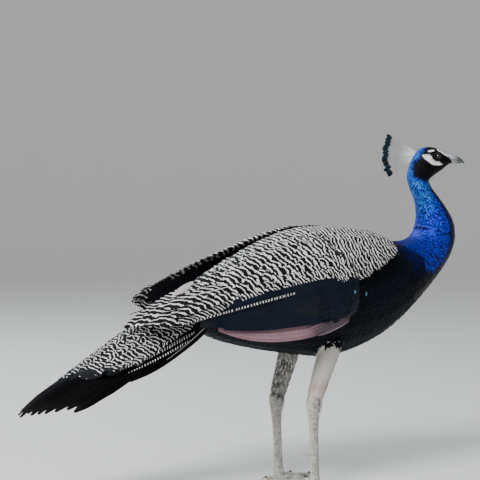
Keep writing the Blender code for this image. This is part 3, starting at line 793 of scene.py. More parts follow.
def leave_out(bed, path, kept):
    """The same bed and paths with only the kept feathers."""
    fewer = {key: bed[key][kept] for key in BED_ARRAYS}
    return {**fewer, "tract": bed["tract"]}, [part[kept] for part in path]


# %% Build a mesh of vanes
ONE_SHAFT = (-1, -0.5, 0, 0.5, 1)
RIDGED_SHAFT = (-1, -0.66, -0.33, -0.06, 0, 0.06, 0.33, 0.66, 1)


def no_marks(points, share, across, chance, roots):
    """The two marks of each point of each vane, here none. The materials read them."""
    return np.zeros(points.shape[:2]), np.zeros(points.shape[:2])


def vane_mesh(
    name, path, half_width, shape, finish, slot_name, bed=None, marks=no_marks, across=ONE_SHAFT,
    rise=0.001, sink=0.0005, camber=0.22, ridge=0.0, lean=0.0, blunt=0.5, thick=0.0003, patch=0.003
):
    """A mesh of closed vanes along given paths. half_width is each vane's, and shape is each
    row's width as a share of it, drawn at the places across. bed is where the vanes grow, if not
    in one stack. rise and sink are how high the tip and how deep the root lies, ridge is the
    shaft's height and thick the keel's depth, in metres. camber, lean and blunt bend the vane
    down, aside and back by shares of its half width. patch is its size on the unrolled skin."""
    places, ways, ups = path
    count, rows = places.shape[0], places.shape[1] - 1
    across = np.array(across, float)
    shape = np.tile(np.array(shape, float), (count, 1))
    chance = rng.random(count)
    share = np.linspace(0, 1, rows + 1)
    length = np.linalg.norm(np.diff(places, axis=1), axis=2).sum(axis=1)
    width = half_width[:, None] * shape
    sides = np.cross(ways, ups)
    lift = (np.broadcast_to(rise, count)[:, None] + sink) * share[None] - sink
    t, wide = across[None, None, :], width[..., None]
    over = lift[..., None] - camber * wide * t**2
    over = over + ridge * (np.abs(t) < 0.01) * np.minimum(wide / half_width.mean(), 1)
    back = blunt * wide * share[None, :, None] ** 2 * t**2
    aside = wide * (t + lean * (1 - t**2))
    tops = places[:, :, None] + sides[:, :, None] * aside[..., None]
    tops = tops + ups[:, :, None] * over[..., None] - ways[:, :, None] * back[..., None]
    depth = thick * (0.3 + 0.7 * shape[:, 1:-1, None])
    keels = tops[:, 1:-1, len(across) // 2] - ups[:, 1:-1] * depth
    points = np.concatenate([tops.reshape(count, -1, 3), keels], axis=1)

    faces, corner_uvs, size = vane_pattern(rows, across)
    share_all = np.concatenate([np.repeat(share, len(across)), share[1:-1]])[None]
    across_all = np.concatenate([np.tile(across, rows + 1), np.zeros(rows - 1)])[None]
    width_all = np.concatenate([np.repeat(width, len(across), axis=1), width[:, 1:-1]], axis=1)
    along_all = share_all * length[:, None]
    vane = [across_all * width_all * 1000, along_all * 1000, share_all + 0 * width_all]
    vane = np.stack(vane, axis=-1)
    first, second = marks(points, share_all, across_all, chance[:, None], places[:, :1])
    mark = np.stack([chance[:, None] + 0 * width_all, first, second], axis=-1)

    sizes = np.array([len(f) for f in faces])
    corner_ids = np.concatenate([np.array(f) for f in faces])
    corner_ids = (corner_ids[None] + (np.arange(count) * size)[:, None]).ravel()
    starts = np.cumsum(np.tile(sizes, count)) - np.tile(sizes, count)
    mesh = bpy.data.meshes.new(name)
    mesh.vertices.add(count * size)
    mesh.vertices.foreach_set("co", points.astype(np.float32).ravel())
    mesh.loops.add(len(corner_ids))
    mesh.loops.foreach_set("vertex_index", corner_ids.astype(np.int32))
    mesh.polygons.add(len(starts))
    mesh.polygons.foreach_set("loop_start", starts.astype(np.int32))
    mesh.update(calc_edges=True)
    store(mesh, vane=vane, mark=mark)
    if bed:
        spots = unrolled(bed["tract"], bed["places"])
    else:  # a stack of long feathers, one above the other
        spots = np.stack([np.zeros(count), np.arange(count)], axis=1)
    low, high = spots.min(axis=0), spots.max(axis=0)
    spots = 0.005 + (spots - low) / np.maximum(high - low, 1e-6) * (0.99 - patch)
    uvs = spots[:, None] + np.array([uv for face in corner_uvs for uv in face])[None] * patch
    mesh.uv_layers.new(name="OFBake").data.foreach_set("uv", uvs.astype(np.float32).ravel())
    mesh.shade_smooth()
    mesh.set_sharp_from_angle(angle=math.radians(55))
    return place_piece(name, mesh, finish, f"{count} feathers")


# %% Put a piece in the scene
def place_piece(name, mesh, finish, note=""):
    """Puts a finished mesh in the scene, on the bird's one body."""
    if not mesh.materials:
        mesh.materials.append(finish)
    piece = bpy.data.objects.new(name, mesh)
    bpy.context.scene.collection.objects.link(piece)
    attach(piece, "root")
    print(f"{name}: {note} {len(triangles_of(mesh))} triangles")
    return piece


# %% [markdown]
# ## Plumage materials
#
# A vane is made of barbs, fine strands that leave the shaft at a slant. They are too fine to see
# one by one at this distance, so they are drawn about twice as coarse as in life. They give the
# soft combed grain, and the shaft gives a thin line down the middle. Black and blue feathers owe
# their gloss to layers of keratin and melanin, so they shine a little like metal.

# %% Shared start of every plumage material
BARB_SPACING = 0.9  # millimetres; barbs on a real vane are 0.3 to 0.5 apart


def mottled(tree, place, scale, dark, pale):
    """A colour that wanders between two in soft patches, of which scale fit in a metre."""
    noise = add(tree, "TexNoise", {"Vector": place, "Scale": scale, "Detail": 3.0})
    return add(tree, "Mix", {0: noise, 6: dark, 7: pale}, **COLOURS)


def plumage(name, grain=0.3, gloss=0.14, **sockets):
    """A feather material with combed barbs and a shaft. Returns it, its tree, its shader and its
    values: millimetres across the vane, share of its length, chance, two marks, shaft, place."""
    made, tree, shader = new_material(name, Specular_IOR_Level=gloss, **sockets)
    vane = add(tree, "Attribute", out="Vector", attribute_name="vane")
    mark = add(tree, "Attribute", out="Vector", attribute_name="mark")
    across, along, share = add(tree, "SeparateXYZ", {0: vane}, out=None)
    chance, first, second = add(tree, "SeparateXYZ", {0: mark}, out=None)
    slant = add(tree, "Math", {0: across}, operation="ABSOLUTE")
    slant = add(tree, "Math", {0: slant, 1: -1.3, 2: along}, operation="MULTIPLY_ADD")
    turns = add(tree, "Math", {0: slant, 1: 2 * math.pi / BARB_SPACING}, operation="MULTIPLY")
    barbs = add(tree, "Math", {0: turns}, operation="SINE")
    bump = add(tree, "Bump", {"Height": barbs, "Strength": grain, "Distance": 0.0002})
    tree.links.new(bump, shader.inputs["Normal"])
    shaft = add(tree, "Math", {0: across}, operation="ABSOLUTE")
    shaft = add(tree, "MapRange", {0: shaft, 1: 0.15, 2: 0.45, 3: 1.0, 4: 0.0})
    place = add(tree, "TexCoord", out="Object")
    value = SimpleNamespace(across=across, share=share, chance=chance, first=first, second=second)
    value.shaft, value.place = shaft, place
    return made, tree, shader, value


# %% [markdown]
# The scapulars and wing coverts are black, crossed by buff-white wavy bars about as wide as the
# gaps. The bars of neighbouring feathers nearly join, with a jog where one feather ends. Each
# feather carries the phase of its bars, and noise makes the lines waver as if brushed.

# %% Barred plumage
BUFF_WHITE, BAR_BLACK = "#efede6", "#05070b"
# Black melanin and plain keratin in turns: matt bands, and on the buff ones a faint mottle.
barred, tree, shader, value = plumage("feather_keratin_barred_buff_and_black", Roughness=0.6)
phase = value.first
for scale, strength in ((75, 1.1), (190, 0.5)):
    noise = add(tree, "TexNoise", {"Vector": value.place, "Scale": scale, "Detail": 1.0})
    phase = add(tree, "Math", {0: noise, 1: strength, 2: phase}, operation="MULTIPLY_ADD")
phase = add(tree, "Math", {0: phase, 1: 2 * math.pi}, operation="MULTIPLY")
wave = add(tree, "Math", {0: phase}, operation="SINE")
forward = add(tree, "SeparateXYZ", {0: value.place})
narrowing = add(tree, "MapRange", {0: forward, 1: -0.2, 2: 0.05, 3: -0.22, 4: 0.0})
wave = add(tree, "Math", {0: wave, 1: narrowing})  # pale bars narrow towards the tail
bars = add(tree, "MapRange", {0: wave, 1: 0.36, 2: 0.52})
buff = mottled(tree, value.place, 30, "#cfcfcc", BUFF_WHITE)
colour = add(tree, "Mix", {0: bars, 6: BAR_BLACK, 7: buff}, **COLOURS)
# The second mark paints plain dark: painted shade on the skin at the wing's seam, and the dark
# feathers below the bars on the tail's base.
colour = add(tree, "Mix", {0: value.second, 6: colour, 7: "#0d1015"}, **COLOURS)
tree.links.new(colour, shader.inputs["Base Color"])

# %% [markdown]
# The body is black with a trace of blue in its gloss, and has bronze scales on the back. The
# neck is covered by small scale-like feathers whose barbules throw back pure blue. Its paler
# azure on the nape is painted light, where the lamp falls. The colour is in the reflection, so
# the material is half metallic and its hue shifts from feather to feather. Towards the breast and
# on the face blue gives way to black, and along the neck's front that black is partly painted
# shade. Each material has soft noise in it: 300 turns a metre give patches of about three
# millimetres, and so on.

# %% Black and dark plumage
# Melanin all through: nearly black, with a bronze middle where the second mark is set.
black, tree, shader, value = plumage("feather_keratin_black_glossed", gloss=0.08, Roughness=0.5)
tint = mottled(tree, value.place, 60, "#04060c", "#0a101c")
bronze = add(tree, "Mix", {0: value.chance, 6: "#20301a", 7: "#4a4a1e"}, **COLOURS)
tint = add(tree, "Mix", {0: value.second, 6: tint, 7: bronze}, **COLOURS)
tree.links.new(tint, shader.inputs["Base Color"])

# Firm webs of long feathers: a little glossier, so that they catch the sky as slate blue.
dusky, tree, shader, value = plumage("feather_keratin_dark_glossed_web", gloss=0.12, Roughness=0.45)
web = mottled(tree, value.place, 40, "#060a12", "#101a2b")
web = add(tree, "Mix", {0: value.shaft, 6: web, 7: "#14181f"}, **COLOURS)
# Painted highlight: the second mark paints a pale blue glint on the coverts that lie askew.
web = add(tree, "Mix", {0: value.second, 6: web, 7: "#6fb4d8"}, **COLOURS)
tree.links.new(web, shader.inputs["Base Color"])

# %% Blue plumage
# Layered barbules: a metal-like blue that differs from feather to feather, darker at the roots.
blue, tree, shader, value = plumage("feather_keratin_iridescent_blue", Roughness=0.42, Metallic=0.5)
fine = add(tree, "TexNoise", {"Vector": value.place, "Scale": 300, "Detail": 3.0})
factor = add(tree, "MapRange", {0: fine, 1: 0.35, 2: 0.65})
deep = add(tree, "Mix", {0: factor, 6: "#0d1a86", 7: "#2743dc"}, **COLOURS)
factor = add(tree, "MapRange", {0: value.chance, 1: 0.1, 2: 0.9})
pale = add(tree, "Mix", {0: factor, 6: "#103c9e", 7: "#3486d8"}, **COLOURS)
# Painted highlight: the second mark turns the nape paler azure, where the lamp lights it.
azure = add(tree, "Mix", {0: value.second, 6: deep, 7: pale}, **COLOURS)
factor = add(tree, "MapRange", {0: value.share, 1: 0.0, 2: 0.7})
azure = add(tree, "Mix", {0: factor, 6: "#081459", 7: azure}, **COLOURS)
inside = add(tree, "Math", {0: fine, 1: 8.0, 2: value.first}, operation="MULTIPLY_ADD")
# Outside the blue: black, or dark navy on throat and breast; along the neck's front this is partly
# painted shade.
dark = add(tree, "Mix", {0: value.second, 6: "#04050b", 7: "#08104a"}, **COLOURS)
factor = add(tree, "MapRange", {0: inside, 1: 1.0, 2: 8.0})
tint = add(tree, "Mix", {0: factor, 6: dark, 7: azure}, **COLOURS)
tree.links.new(tint, shader.inputs["Base Color"])

# %% Pale plumage
# Loose down without gloss: a soft grey mottle on the left thigh, painted shade away from the lamp, and
# plain cream on the other.
cream, tree, shader, value = plumage("feather_keratin_cream_down", Roughness=0.85)
noise = add(tree, "TexNoise", {"Vector": value.place, "Scale": 85, "Detail": 3.0})
mottle = add(tree, "MapRange", {0: noise, 1: 0.38, 2: 0.66})
grey = add(tree, "Mix", {0: mottle, 6: "#5c5a58", 7: "#aaa7a2"}, **COLOURS)
unshaded_cream = add(tree, "Mix", {0: value.second, 6: "#cfcac2", 7: "#c4a69a"}, **COLOURS)
# Painted shade: the first mark turns the left thigh's cream to a grey mottle.
tint = add(tree, "Mix", {0: value.first, 6: unshaded_cream, 7: grey}, **COLOURS)
tree.links.new(tint, shader.inputs["Base Color"])

# %% [markdown]
# ## Skin materials
#
# Under its feathers the skin shows the same colours, so a gap never flashes pale. The bare skin
# round the eye is chalk white and finely wrinkled. On the legs it is dry horny scale, grey-buff,
# darker in the furrows and down the outer side.

# %% Face skin
# Bare skin with a dust of scales: chalky and fully matt, with fine wrinkles and a ragged edge.
face_skin, tree, shader, value = plumage("bare_skin_white_and_black_down", 0.0, Roughness=0.6)
edge = add(tree, "TexNoise", {"Vector": value.place, "Scale": 500, "Detail": 3.0})
edge = add(tree, "Math", {0: edge, 1: 0.9, 2: value.chance}, operation="MULTIPLY_ADD")
white = add(tree, "MapRange", {0: edge, 1: 0.3, 2: 0.7})
chalk = mottled(tree, value.place, 700, "#d5d6ce", "#f0f0ea")
factor = add(tree, "MapRange", {0: value.first, 1: 0.0, 2: 6.0})
dark = add(tree, "Mix", {0: factor, 6: "#050509", 7: "#123cae"}, **COLOURS)
tint = add(tree, "Mix", {0: white, 6: dark, 7: chalk}, **COLOURS)
tree.links.new(tint, shader.inputs["Base Color"])
wrinkle = add(tree, "TexNoise", {"Vector": value.place, "Scale": 900, "Detail": 4.0})
bump = add(tree, "Bump", {"Height": wrinkle, "Strength": 0.5, "Distance": 0.0004})
tree.links.new(bump, shader.inputs["Normal"])

# %% Leg skin
# Dry horny scale: dull grey-buff, with pits of two millimetres that break up its light.
leg_scale, tree, shader, value = plumage("leg_scale_keratin_dry_matt", 0.0, Roughness=0.55)
noise = add(tree, "TexNoise", {"Vector": value.place, "Scale": 160, "Detail": 3.0})
patchy = add(tree, "MapRange", {0: noise, 1: 0.35, 2: 0.65})
tint = add(tree, "Mix", {0: patchy, 6: "#94918c", 7: "#c8c5bf"}, **COLOURS)
# The first mark paints the back of the shank straw: partly the scales' tint and partly painted
# highlight.
tint = add(tree, "Mix", {0: value.first, 6: tint, 7: "#d2c6a2"}, **COLOURS)
noise = add(tree, "TexNoise", {"Vector": value.place, "Scale": 330, "Detail": 1.0})
spots = add(tree, "MapRange", {0: noise, 1: 0.45, 2: 0.6})
spots = add(tree, "Math", {0: spots, 1: value.second}, operation="MULTIPLY")
tint = add(tree, "Mix", {0: spots, 6: tint, 7: "#3a2c2a"}, **COLOURS)
tree.links.new(tint, shader.inputs["Base Color"])
cells = add(tree, "TexVoronoi", {"Vector": value.place, "Scale": 420})
bump = add(tree, "Bump", {"Height": cells, "Strength": 0.6, "Distance": 0.0005})
tree.links.new(bump, shader.inputs["Normal"])

# %% Put the skin together
SKIN_FINISH = {"head": face_skin, "neck_upper": blue, "neck_lower": blue, "tail_coverts": barred}
for names, finish in ((WINGS, barred), (FLIGHT, dusky), (THIGHS, cream), (FEET, leg_scale)):
    SKIN_FINISH.update(dict.fromkeys(names, finish))
finishes = [black, barred, blue, cream, face_skin, leg_scale, dusky]
# All in metres, apart from the share of the shield's height at which its barred rim starts.
THIGH_TOP = 0.256  # above this height a thigh is hidden by black flank feathers
WING_TIP = -0.160  # x behind which barred feathers wrap round the wing's end
RIM_END = -0.125  # x behind which the side that faces the back shows no bars
INNER_RIM = ([-0.12, 0.0, 0.06, 0.10], [0.72, 0.80, 0.93, 1.1])
FACES_BACK = -0.15  # a wing's skin faces the back if its normal points outwards by less than this

skin_mesh = bpy.data.meshes.new("skin")
quads, quad_owner, offset = [], [], 0
for region, mesh in flesh.items():
    quads += [tuple(offset + i for i in p.vertices) for p in mesh.polygons]
    quad_owner += [owners[region][p.vertices[0]] for p in mesh.polygons]
    offset += len(mesh.vertices)
skin_mesh.from_pydata(ground_points.tolist(), [], quads)
quad_owner = np.array(quad_owner)
slots = [finishes.index(SKIN_FINISH.get(name, black)) for name in ALL_FLESH]
quad_slot = np.array(slots, np.int32)[quad_owner]
middles = read(skin_mesh, "polygons", "center")
for name in THIGHS:
    quad_slot[(quad_owner == ALL_FLESH.index(name)) & (middles[:, 2] > THIGH_TOP)] = 0
facing = read(skin_mesh, "polygons", "normal")[:, 1]
rim = np.interp(middles[:, 0], *INNER_RIM)
shows_bars = (up_the_shield(middles) > rim) & (middles[:, 0] > RIM_END)
# The black of the side facing the back is the inner webs' own dark and painted shade between the
# wings.
for name in WINGS:  # the side of a wing that faces the back is black below its barred rim
    inner = (facing * side_of(name) < FACES_BACK) & (middles[:, 0] > WING_TIP) & ~shows_bars
    quad_slot[(quad_owner == ALL_FLESH.index(name)) & inner] = 0
skin_mesh.polygons.foreach_set("material_index", quad_slot)
for finish in finishes:
    skin_mesh.materials.append(finish)
skin_mesh.shade_smooth()

# %% Unroll the skin and mark it
# Near the seam the bare skin is painted plain dark: painted shade in the gap between the two families
# of feathers, where their bars would also crowd.
SEAM_BLANK = 0.005  # the skin is plain dark this near the seam, because its bars would crowd,
SEAM_BLANK_TOP = 0.441  # and up to this height, both in metres
vertex_owner = np.concatenate(owner_of)
flat_uv = np.zeros((len(ground_points), 2))
marks = np.zeros((len(ground_points), 3))
marks[:, 0] = 0.5
CELLS_WIDE = math.ceil(math.sqrt(len(ALL_FLESH)))
blue_depth, painted_light_azure_share = blue_marks(ground_points)
for place, name in enumerate(ALL_FLESH):
    mine = vertex_owner == place
    spots = unrolled(name, ground_points[mine])
    low, high = spots.min(axis=0), spots.max(axis=0)
    cell = np.array([place % CELLS_WIDE, place // CELLS_WIDE])
    flat_uv[mine] = (cell + 0.04 + 0.9 * (spots - low) / (high - low)) / CELLS_WIDE
    if name in ("head", "neck_upper", "neck_lower"):
        marks[mine, 1], marks[mine, 2] = blue_depth[mine], painted_light_azure_share[mine]
    if name == "head":
        marks[mine, 0] = white_marks(ground_points[mine])
    if SKIN_FINISH.get(name) is barred or name in FLIGHT + ["trunk_rear"]:  # the last two border it
        tract = "tail_coverts" if name == "trunk_rear" else name
        marks[mine, 1] = bar_phase(ground_points[mine], ground_points[mine], tract)
    if name in WINGS:
        crowded_painted_shade_seam = np.abs(past_seam(ground_points[mine])) < SEAM_BLANK
        marks[mine, 2] = crowded_painted_shade_seam & (ground_points[mine, 2] < SEAM_BLANK_TOP)
loop_vertex = read(skin_mesh, "loops", "vertex_index", 1, np.int32)
loop_uv = flat_uv[loop_vertex].reshape(-1, 4, 2)
seam_step = 0.45 / CELLS_WIDE
crosses = np.ptp(loop_uv[..., 1], axis=1) > seam_step
top = loop_uv[..., 1].max(axis=1)[:, None]
low_side = crosses[:, None] & (loop_uv[..., 1] < top - seam_step)
loop_uv[..., 1] = np.where(low_side, top - 0.001, loop_uv[..., 1])
skin_mesh.uv_layers.new(name="OFBake").data.foreach_set("uv", loop_uv.astype(np.float32).ravel())
store(skin_mesh, vane=np.zeros_like(marks), mark=marks)
skin = place_piece("skin", skin_mesh, black)
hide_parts(*[name for name in ALL_FLESH if name not in FLIGHT])

# %% [markdown]
# ## The barred shield of each folded wing
#
# Scapulars and coverts lie over the folded wing like a mantle. Each is a broad round-tipped
# vane of two or three centimetres, of which about a centimetre shows. They are smallest on the
# shoulder. The side that faces the back is plain black, as the inner webs of real ones are, and
# that black is also painted shade between the wings.

# %% Scapulars and coverts
ROUND_TIP = [0.45, 0.8, 0.97, 1.0, 0.98, 0.9, 0.72]
BROAD_TIP = [0.5, 0.8, 0.95, 1.0, 1.0, 0.9, 0.6]
# Places along x and the values there, in metres.
SHIELD_ROOM = ([-0.17, -0.12, -0.05, 0.10, 0.22], [0.0080, 0.0110, 0.0125, 0.0100, 0.0062])
COVERTS_TOP = ([0.0, 0.06, 0.16], [0.0, 0.362, 0.366])  # the black coverts in front reach so high


def shield_marks(points, share, across, chance, roots):
    """Bars that jog a little from feather to feather and curve with the tip."""
    tilt = (chance * 7.0 % 1.0 - 0.5) * 0.8
    phase = bar_phase(points, roots, "shield")
    curve = np.where(past_seam(roots) > 0, -0.3, 0.3)
    phase = phase + curve * across**2 + tilt * across + (chance - 0.5) * 0.25
    return phase, np.zeros_like(phase)


def outer_side(side):
    """Keeps scapulars on the side that faces out, and above the black coverts in front."""

    def allowed(places, normals):
        faces_out = (normals[:, 1] * side > 0.12) & (places[:, 1] * side > 0.016)
        above = places[:, 2] > np.interp(places[:, 0], *COVERTS_TOP)
        return (faces_out | (places[:, 0] < WING_TIP)) & above

    return allowed


def inner_side(side):
    """Keeps plain feathers on the side that faces the back, below the barred rim."""

    def allowed(places, normals):
        below = (up_the_shield(places) < 0.7) & (places[:, 0] > WING_TIP + 0.05)
        return (normals[:, 1] * side < -0.5) & below

    return allowed


def shield_spacing(places, normals):
    """Smallest on the shoulder and along the upper edge."""
    room = np.interp(places[:, 0], *SHIELD_ROOM)
    return room * np.interp(up_the_shield(places), [0.8, 1.0], [1.0, 0.62])


for side_name, side in SIDES.items():
    bed = roots_on("wing_shield_" + side_name, shield_spacing, outer_side(side))
    lengths = bed["room"] * 2.6 * rng.uniform(0.9, 1.1, len(bed["room"]))
    path = lay_out(bed, lengths, 6, overhang=0.004)
    over_the_edge = path[2][:, -1, 1] * side < np.where(bed["places"][:, 0] < WING_TIP, -2.0, 0.0)
    turned_back = straightness(path) < 0.7
    off_skin = [max(ground_tree.find_nearest(Vector(p))[3] for p in row) for row in path[0]]
    lifted = (np.array(off_skin) > 0.001) & (up_the_shield(bed["places"]) > 0.8)
    bed, path = leave_out(bed, path, ~over_the_edge & ~turned_back & ~lifted)
    vane_mesh(
        "scapulars_" + side_name, path, bed["room"] * 0.95, ROUND_TIP, barred, "barred_plumage",
        bed, shield_marks, rise=0.0016 * np.clip(bed["normals"][:, 1] * side, 0, 1), sink=0.001,
        blunt=0.55, patch=0.02
    )
    # Plain black inner webs: their own dark, and painted shade between the wings.
    bed = roots_on("wing_shield_" + side_name, evenly(13.0), inner_side(side))
    bed["ways"][:, 1] = 0
    lengths = bed["room"] * 3.2
    path = lay_out(bed, lengths, 6, overhang=0.001)
    bed, path = leave_out(bed, path, (path[2][..., 1] * side).max(axis=1) < -0.3)
    vane_mesh(
        "inner_webs_" + side_name, path, bed["room"] * 0.7, BROAD_TIP, black, "body_plumage", bed,
        rise=0.0001, sink=0.0002, camber=0.03
    )

# %% [markdown]
# Behind, the scapulars grow long. They reach past the wing's end and lie over the tail's base,
# so that wing and tail join without a step. The builder below bends each through three places.

# %% Long rear scapulars
def long_vanes(name, lines, outward, half_width, shape, finish, slot_name, rise=0.0, **form):
    """A stack of long feathers along lines of root, bend and tip. outward is where their vanes
    face. It and half_width are given for all feathers or one by one."""
    share = np.linspace(0, 1, len(shape))[None, :, None]
    root, bend, tip = (np.array([tuple(line[i]) for line in lines])[:, None] for i in range(3))
    places = root * (1 - share) ** 2 + 2 * bend * share * (1 - share) + tip * share**2
    ways = np.gradient(places, axis=1)
    ways /= np.linalg.norm(ways, axis=2)[..., None]
    outward = np.broadcast_to(np.array(outward, float), (len(lines), 3))
    ups = np.broadcast_to(outward[:, None], places.shape).copy()
    ups -= ways * (ups * ways).sum(axis=2)[..., None]
    ups /= np.linalg.norm(ups, axis=2)[..., None]
    widths, path = np.broadcast_to(half_width, len(lines)), (places, ways, ups)
    return vane_mesh(name, path, widths, shape, finish, slot_name, rise=rise, **form)


def on_side(side, *line):
    """Places given for the bird's left, put on one side."""
    return [(x, side * y, z) for x, y, z in line]


LONG_TIP = [0.5, 0.8, 0.95, 1.0, 1.0, 1.0, 0.97, 0.9, 0.76, 0.5]
# root, bend and tip: x, distance from the middle plane and z, in metres; lowest feather first
REAR_SCAPULARS = [
    [(-0.085, 0.098, 0.334), (-0.130, 0.096, 0.322), (-0.178, 0.086, 0.304)],
    [(-0.110, 0.092, 0.337), (-0.155, 0.090, 0.325), (-0.205, 0.074, 0.297)],
    [(-0.090, 0.097, 0.347), (-0.135, 0.093, 0.336), (-0.190, 0.084, 0.315)],
    [(-0.120, 0.088, 0.345), (-0.165, 0.086, 0.334), (-0.222, 0.066, 0.299)],
    [(-0.100, 0.090, 0.360), (-0.145, 0.086, 0.349), (-0.200, 0.078, 0.328)],
    [(-0.130, 0.078, 0.354), (-0.180, 0.078, 0.340), (-0.238, 0.048, 0.298)],
    [(-0.140, 0.066, 0.360), (-0.190, 0.066, 0.344), (-0.246, 0.022, 0.293)],
]
for side_name, side in SIDES.items():
    lines = [[Vector(p) for p in on_side(side, *line)] for line in REAR_SCAPULARS]
    if side > 0:  # those of the left wing are tucked in shorter
        lines = [(root, bend, bend.lerp(tip, 0.3)) for root, bend, tip in lines[:5]]
    outward = [(0.0, side, 0.35 + 0.12 * k) for k in range(len(lines))]
    long_vanes(
        "long_scapulars_" + side_name, lines, outward, 0.0100, LONG_TIP, barred, "barred_plumage",
        marks=shield_marks, across=RIDGED_SHAFT, blunt=0.7, camber=0.16, thick=0.0005, patch=0.1
    )

# %% [markdown]
# The feathers of the tail's base are barred too. Their lines are finer and more broken, like
# worm tracks, because the feathers are softer and overlap more.

# %% Tail coverts
# x and z of the border of barred and dark feathers, in metres.
DARK_BORDER = ([-0.36, -0.30, -0.26, -0.20, -0.14], [0.222, 0.230, 0.231, 0.248, 0.268])


def above_the_dark(places):
    return places[..., 2] - np.interp(places[..., 0], *DARK_BORDER)


def covert_marks(points, share, across, chance, roots):
    phase = bar_phase(points, roots, "tail_coverts")
    phase = phase + 0.5 * across**2 + 1.6 * (chance * 7.0 % 1.0 - 0.5) * across + (chance - 0.5) * 0.8
    dark = np.clip(0.5 - above_the_dark(points) / 0.004, 0, 1)
    return phase, dark


bed = roots_on("tail_coverts", evenly(8.5), lambda places, normals: above_the_dark(places) > -0.004)
lengths = bed["room"] * 3.2 * rng.uniform(0.85, 1.15, len(bed["room"]))
path = lay_out(bed, lengths, 6)
vane_mesh(
    "tail_covert_feathers", path, bed["room"] * 0.85, ROUND_TIP, barred, "barred_plumage", bed,
    covert_marks, rise=0.0015, sink=0.001, blunt=0.6, patch=0.02
)

# %% [markdown]
# ## Body, neck and face feathers
#
# The body's feathers are black and loose. Those of the neck are small round scales, in life a
# centimetre long and packed close. Towards the head they shrink to a velvet of a millimetre or
# two. One loop makes them all, from a table of tract, spacing and finish.

# %% Small feathers of trunk, neck and head
SCALE_TIP = [0.5, 0.88, 1.0, 0.92, 0.66]
VELVET_TIP = [0.7, 1.0, 0.5]
# Spacing by height in metres, and by millimetres ahead of the middle of the head.
NECK_ROOM = ([0.31, 0.36, 0.43, 0.51, 0.54], [0.0068, 0.0056, 0.0042, 0.0027, 0.0021])
FACE_ROOM = ([-20, 10, 35], [0.0019, 0.0015, 0.0012])
EYE_CLEARANCE = 0.0086  # from the middle of an eye to the nearest feather's root
JOINT_LIFT, JOINT_WIDTH = 0.0026, 0.012  # how the lowest nape feathers ride over the neck's skin


def neck_marks(points, share, across, chance, roots):
    return blue_marks(points)


def back_marks(points, share, across, chance, roots):
    """On the back between the wings each scale has a bronze-green middle and a black rim."""
    back = np.clip((roots[..., 2] - 0.385) / 0.015, 0, 1)
    back = back * np.clip((0.06 - np.abs(roots[..., 1])) / 0.02, 0, 1)
    rim = (np.abs(across) < 0.75) * (share < 0.85)
    return np.zeros_like(points[..., 0]), back * rim * (roots[..., 0] < 0.24)


def eye_middle(side):
    return in_head(15.5, 11.6 * side, 10)


def off_the_face(places, normals):
    """Keeps feathers off the bare white skin, the eyes and the neck's hidden lower end."""
    clear = (white_marks(places) < -0.3) & ~((places[:, 2] < 0.436) & (normals[:, 2] < -0.4))
    for side in SIDES.values():
        clear &= np.linalg.norm(places - np.array(eye_middle(side)), axis=1) > EYE_CLEARANCE
    return clear


def neck_spacing(places, normals):
    return np.interp(places[:, 2], *NECK_ROOM)


def face_spacing(places, normals):
    return np.interp(side_view(places)[:, 0], *FACE_ROOM)


SMALL_FEATHERS = {
    "breast_feathers": ("trunk_front", "trunk", evenly(6.8), black, "body_plumage"),
    "rump_feathers": ("trunk_rear", "trunk", evenly(7.5), black, "body_plumage"),
    "neck_feathers": ("neck_lower", "trunk", neck_spacing, blue, "neck_plumage"),
    "nape_feathers": ("neck_upper", "head", neck_spacing, blue, "neck_plumage"),
    "head_feathers": ("head", "head", face_spacing, blue, "head_plumage"),
}
for name, (tract, region, spacing_of, finish, slot_name) in SMALL_FEATHERS.items():
    allowed = off_the_face if tract == "head" else None
    bed = roots_on(tract, spacing_of, allowed, region)
    lengths = bed["room"] * 2.5 * rng.uniform(0.9, 1.1, len(bed["room"]))
    shape = VELVET_TIP if tract == "head" else SCALE_TIP
    path = lay_out(bed, lengths, len(shape) - 1, overhang=0.002)
    if name == "nape_feathers":  # the lowest lie over the top of the neck's coarser skin
        reach = unrolled(tract, bed["places"])[:, 0]
        from_joint = np.abs(reach - reach[bed["places"][:, 2].argmin()])
        lift = JOINT_LIFT * np.clip(1.4 - from_joint / JOINT_WIDTH, 0, 1)
        lift = lift * np.clip(0.6 - bed["normals"][:, 0], 0, 1)
        path = (path[0] + path[2] * lift[:, None, None], path[1], path[2])
    marks = back_marks if finish is black else neck_marks
    vane_mesh(
        name, path, bed["room"] * 0.95, shape, finish, slot_name, bed, marks,
        across=(-1, 0, 1) if tract == "head" else ONE_SHAFT, rise=bed["room"] * 0.2,
        sink=bed["room"].mean() * 0.12, thick=bed["room"].mean() * 0.06
    )

# %% [markdown]
# ## Flight feathers
#
# Below the barred shield lie the secondaries, long dark vanes stacked like a closed fan, with
# the inner ones on top. Under them the rusty primaries make the wing's lower edge. Each is one
# long vane along a bent line, with a raised shaft, made by the same builder as the small ones.

# %% Flight feather finishes
LONG_VANE = [0.4, 0.75, 0.9, 0.97, 1.0, 1.0, 1.0, 1.0, 1.0, 0.98, 0.94, 0.86, 0.72, 0.5, 0.22]
QUILL = dict(across=RIDGED_SHAFT, rise=0.0, ridge=0.0006, thick=0.0006, blunt=0.9)

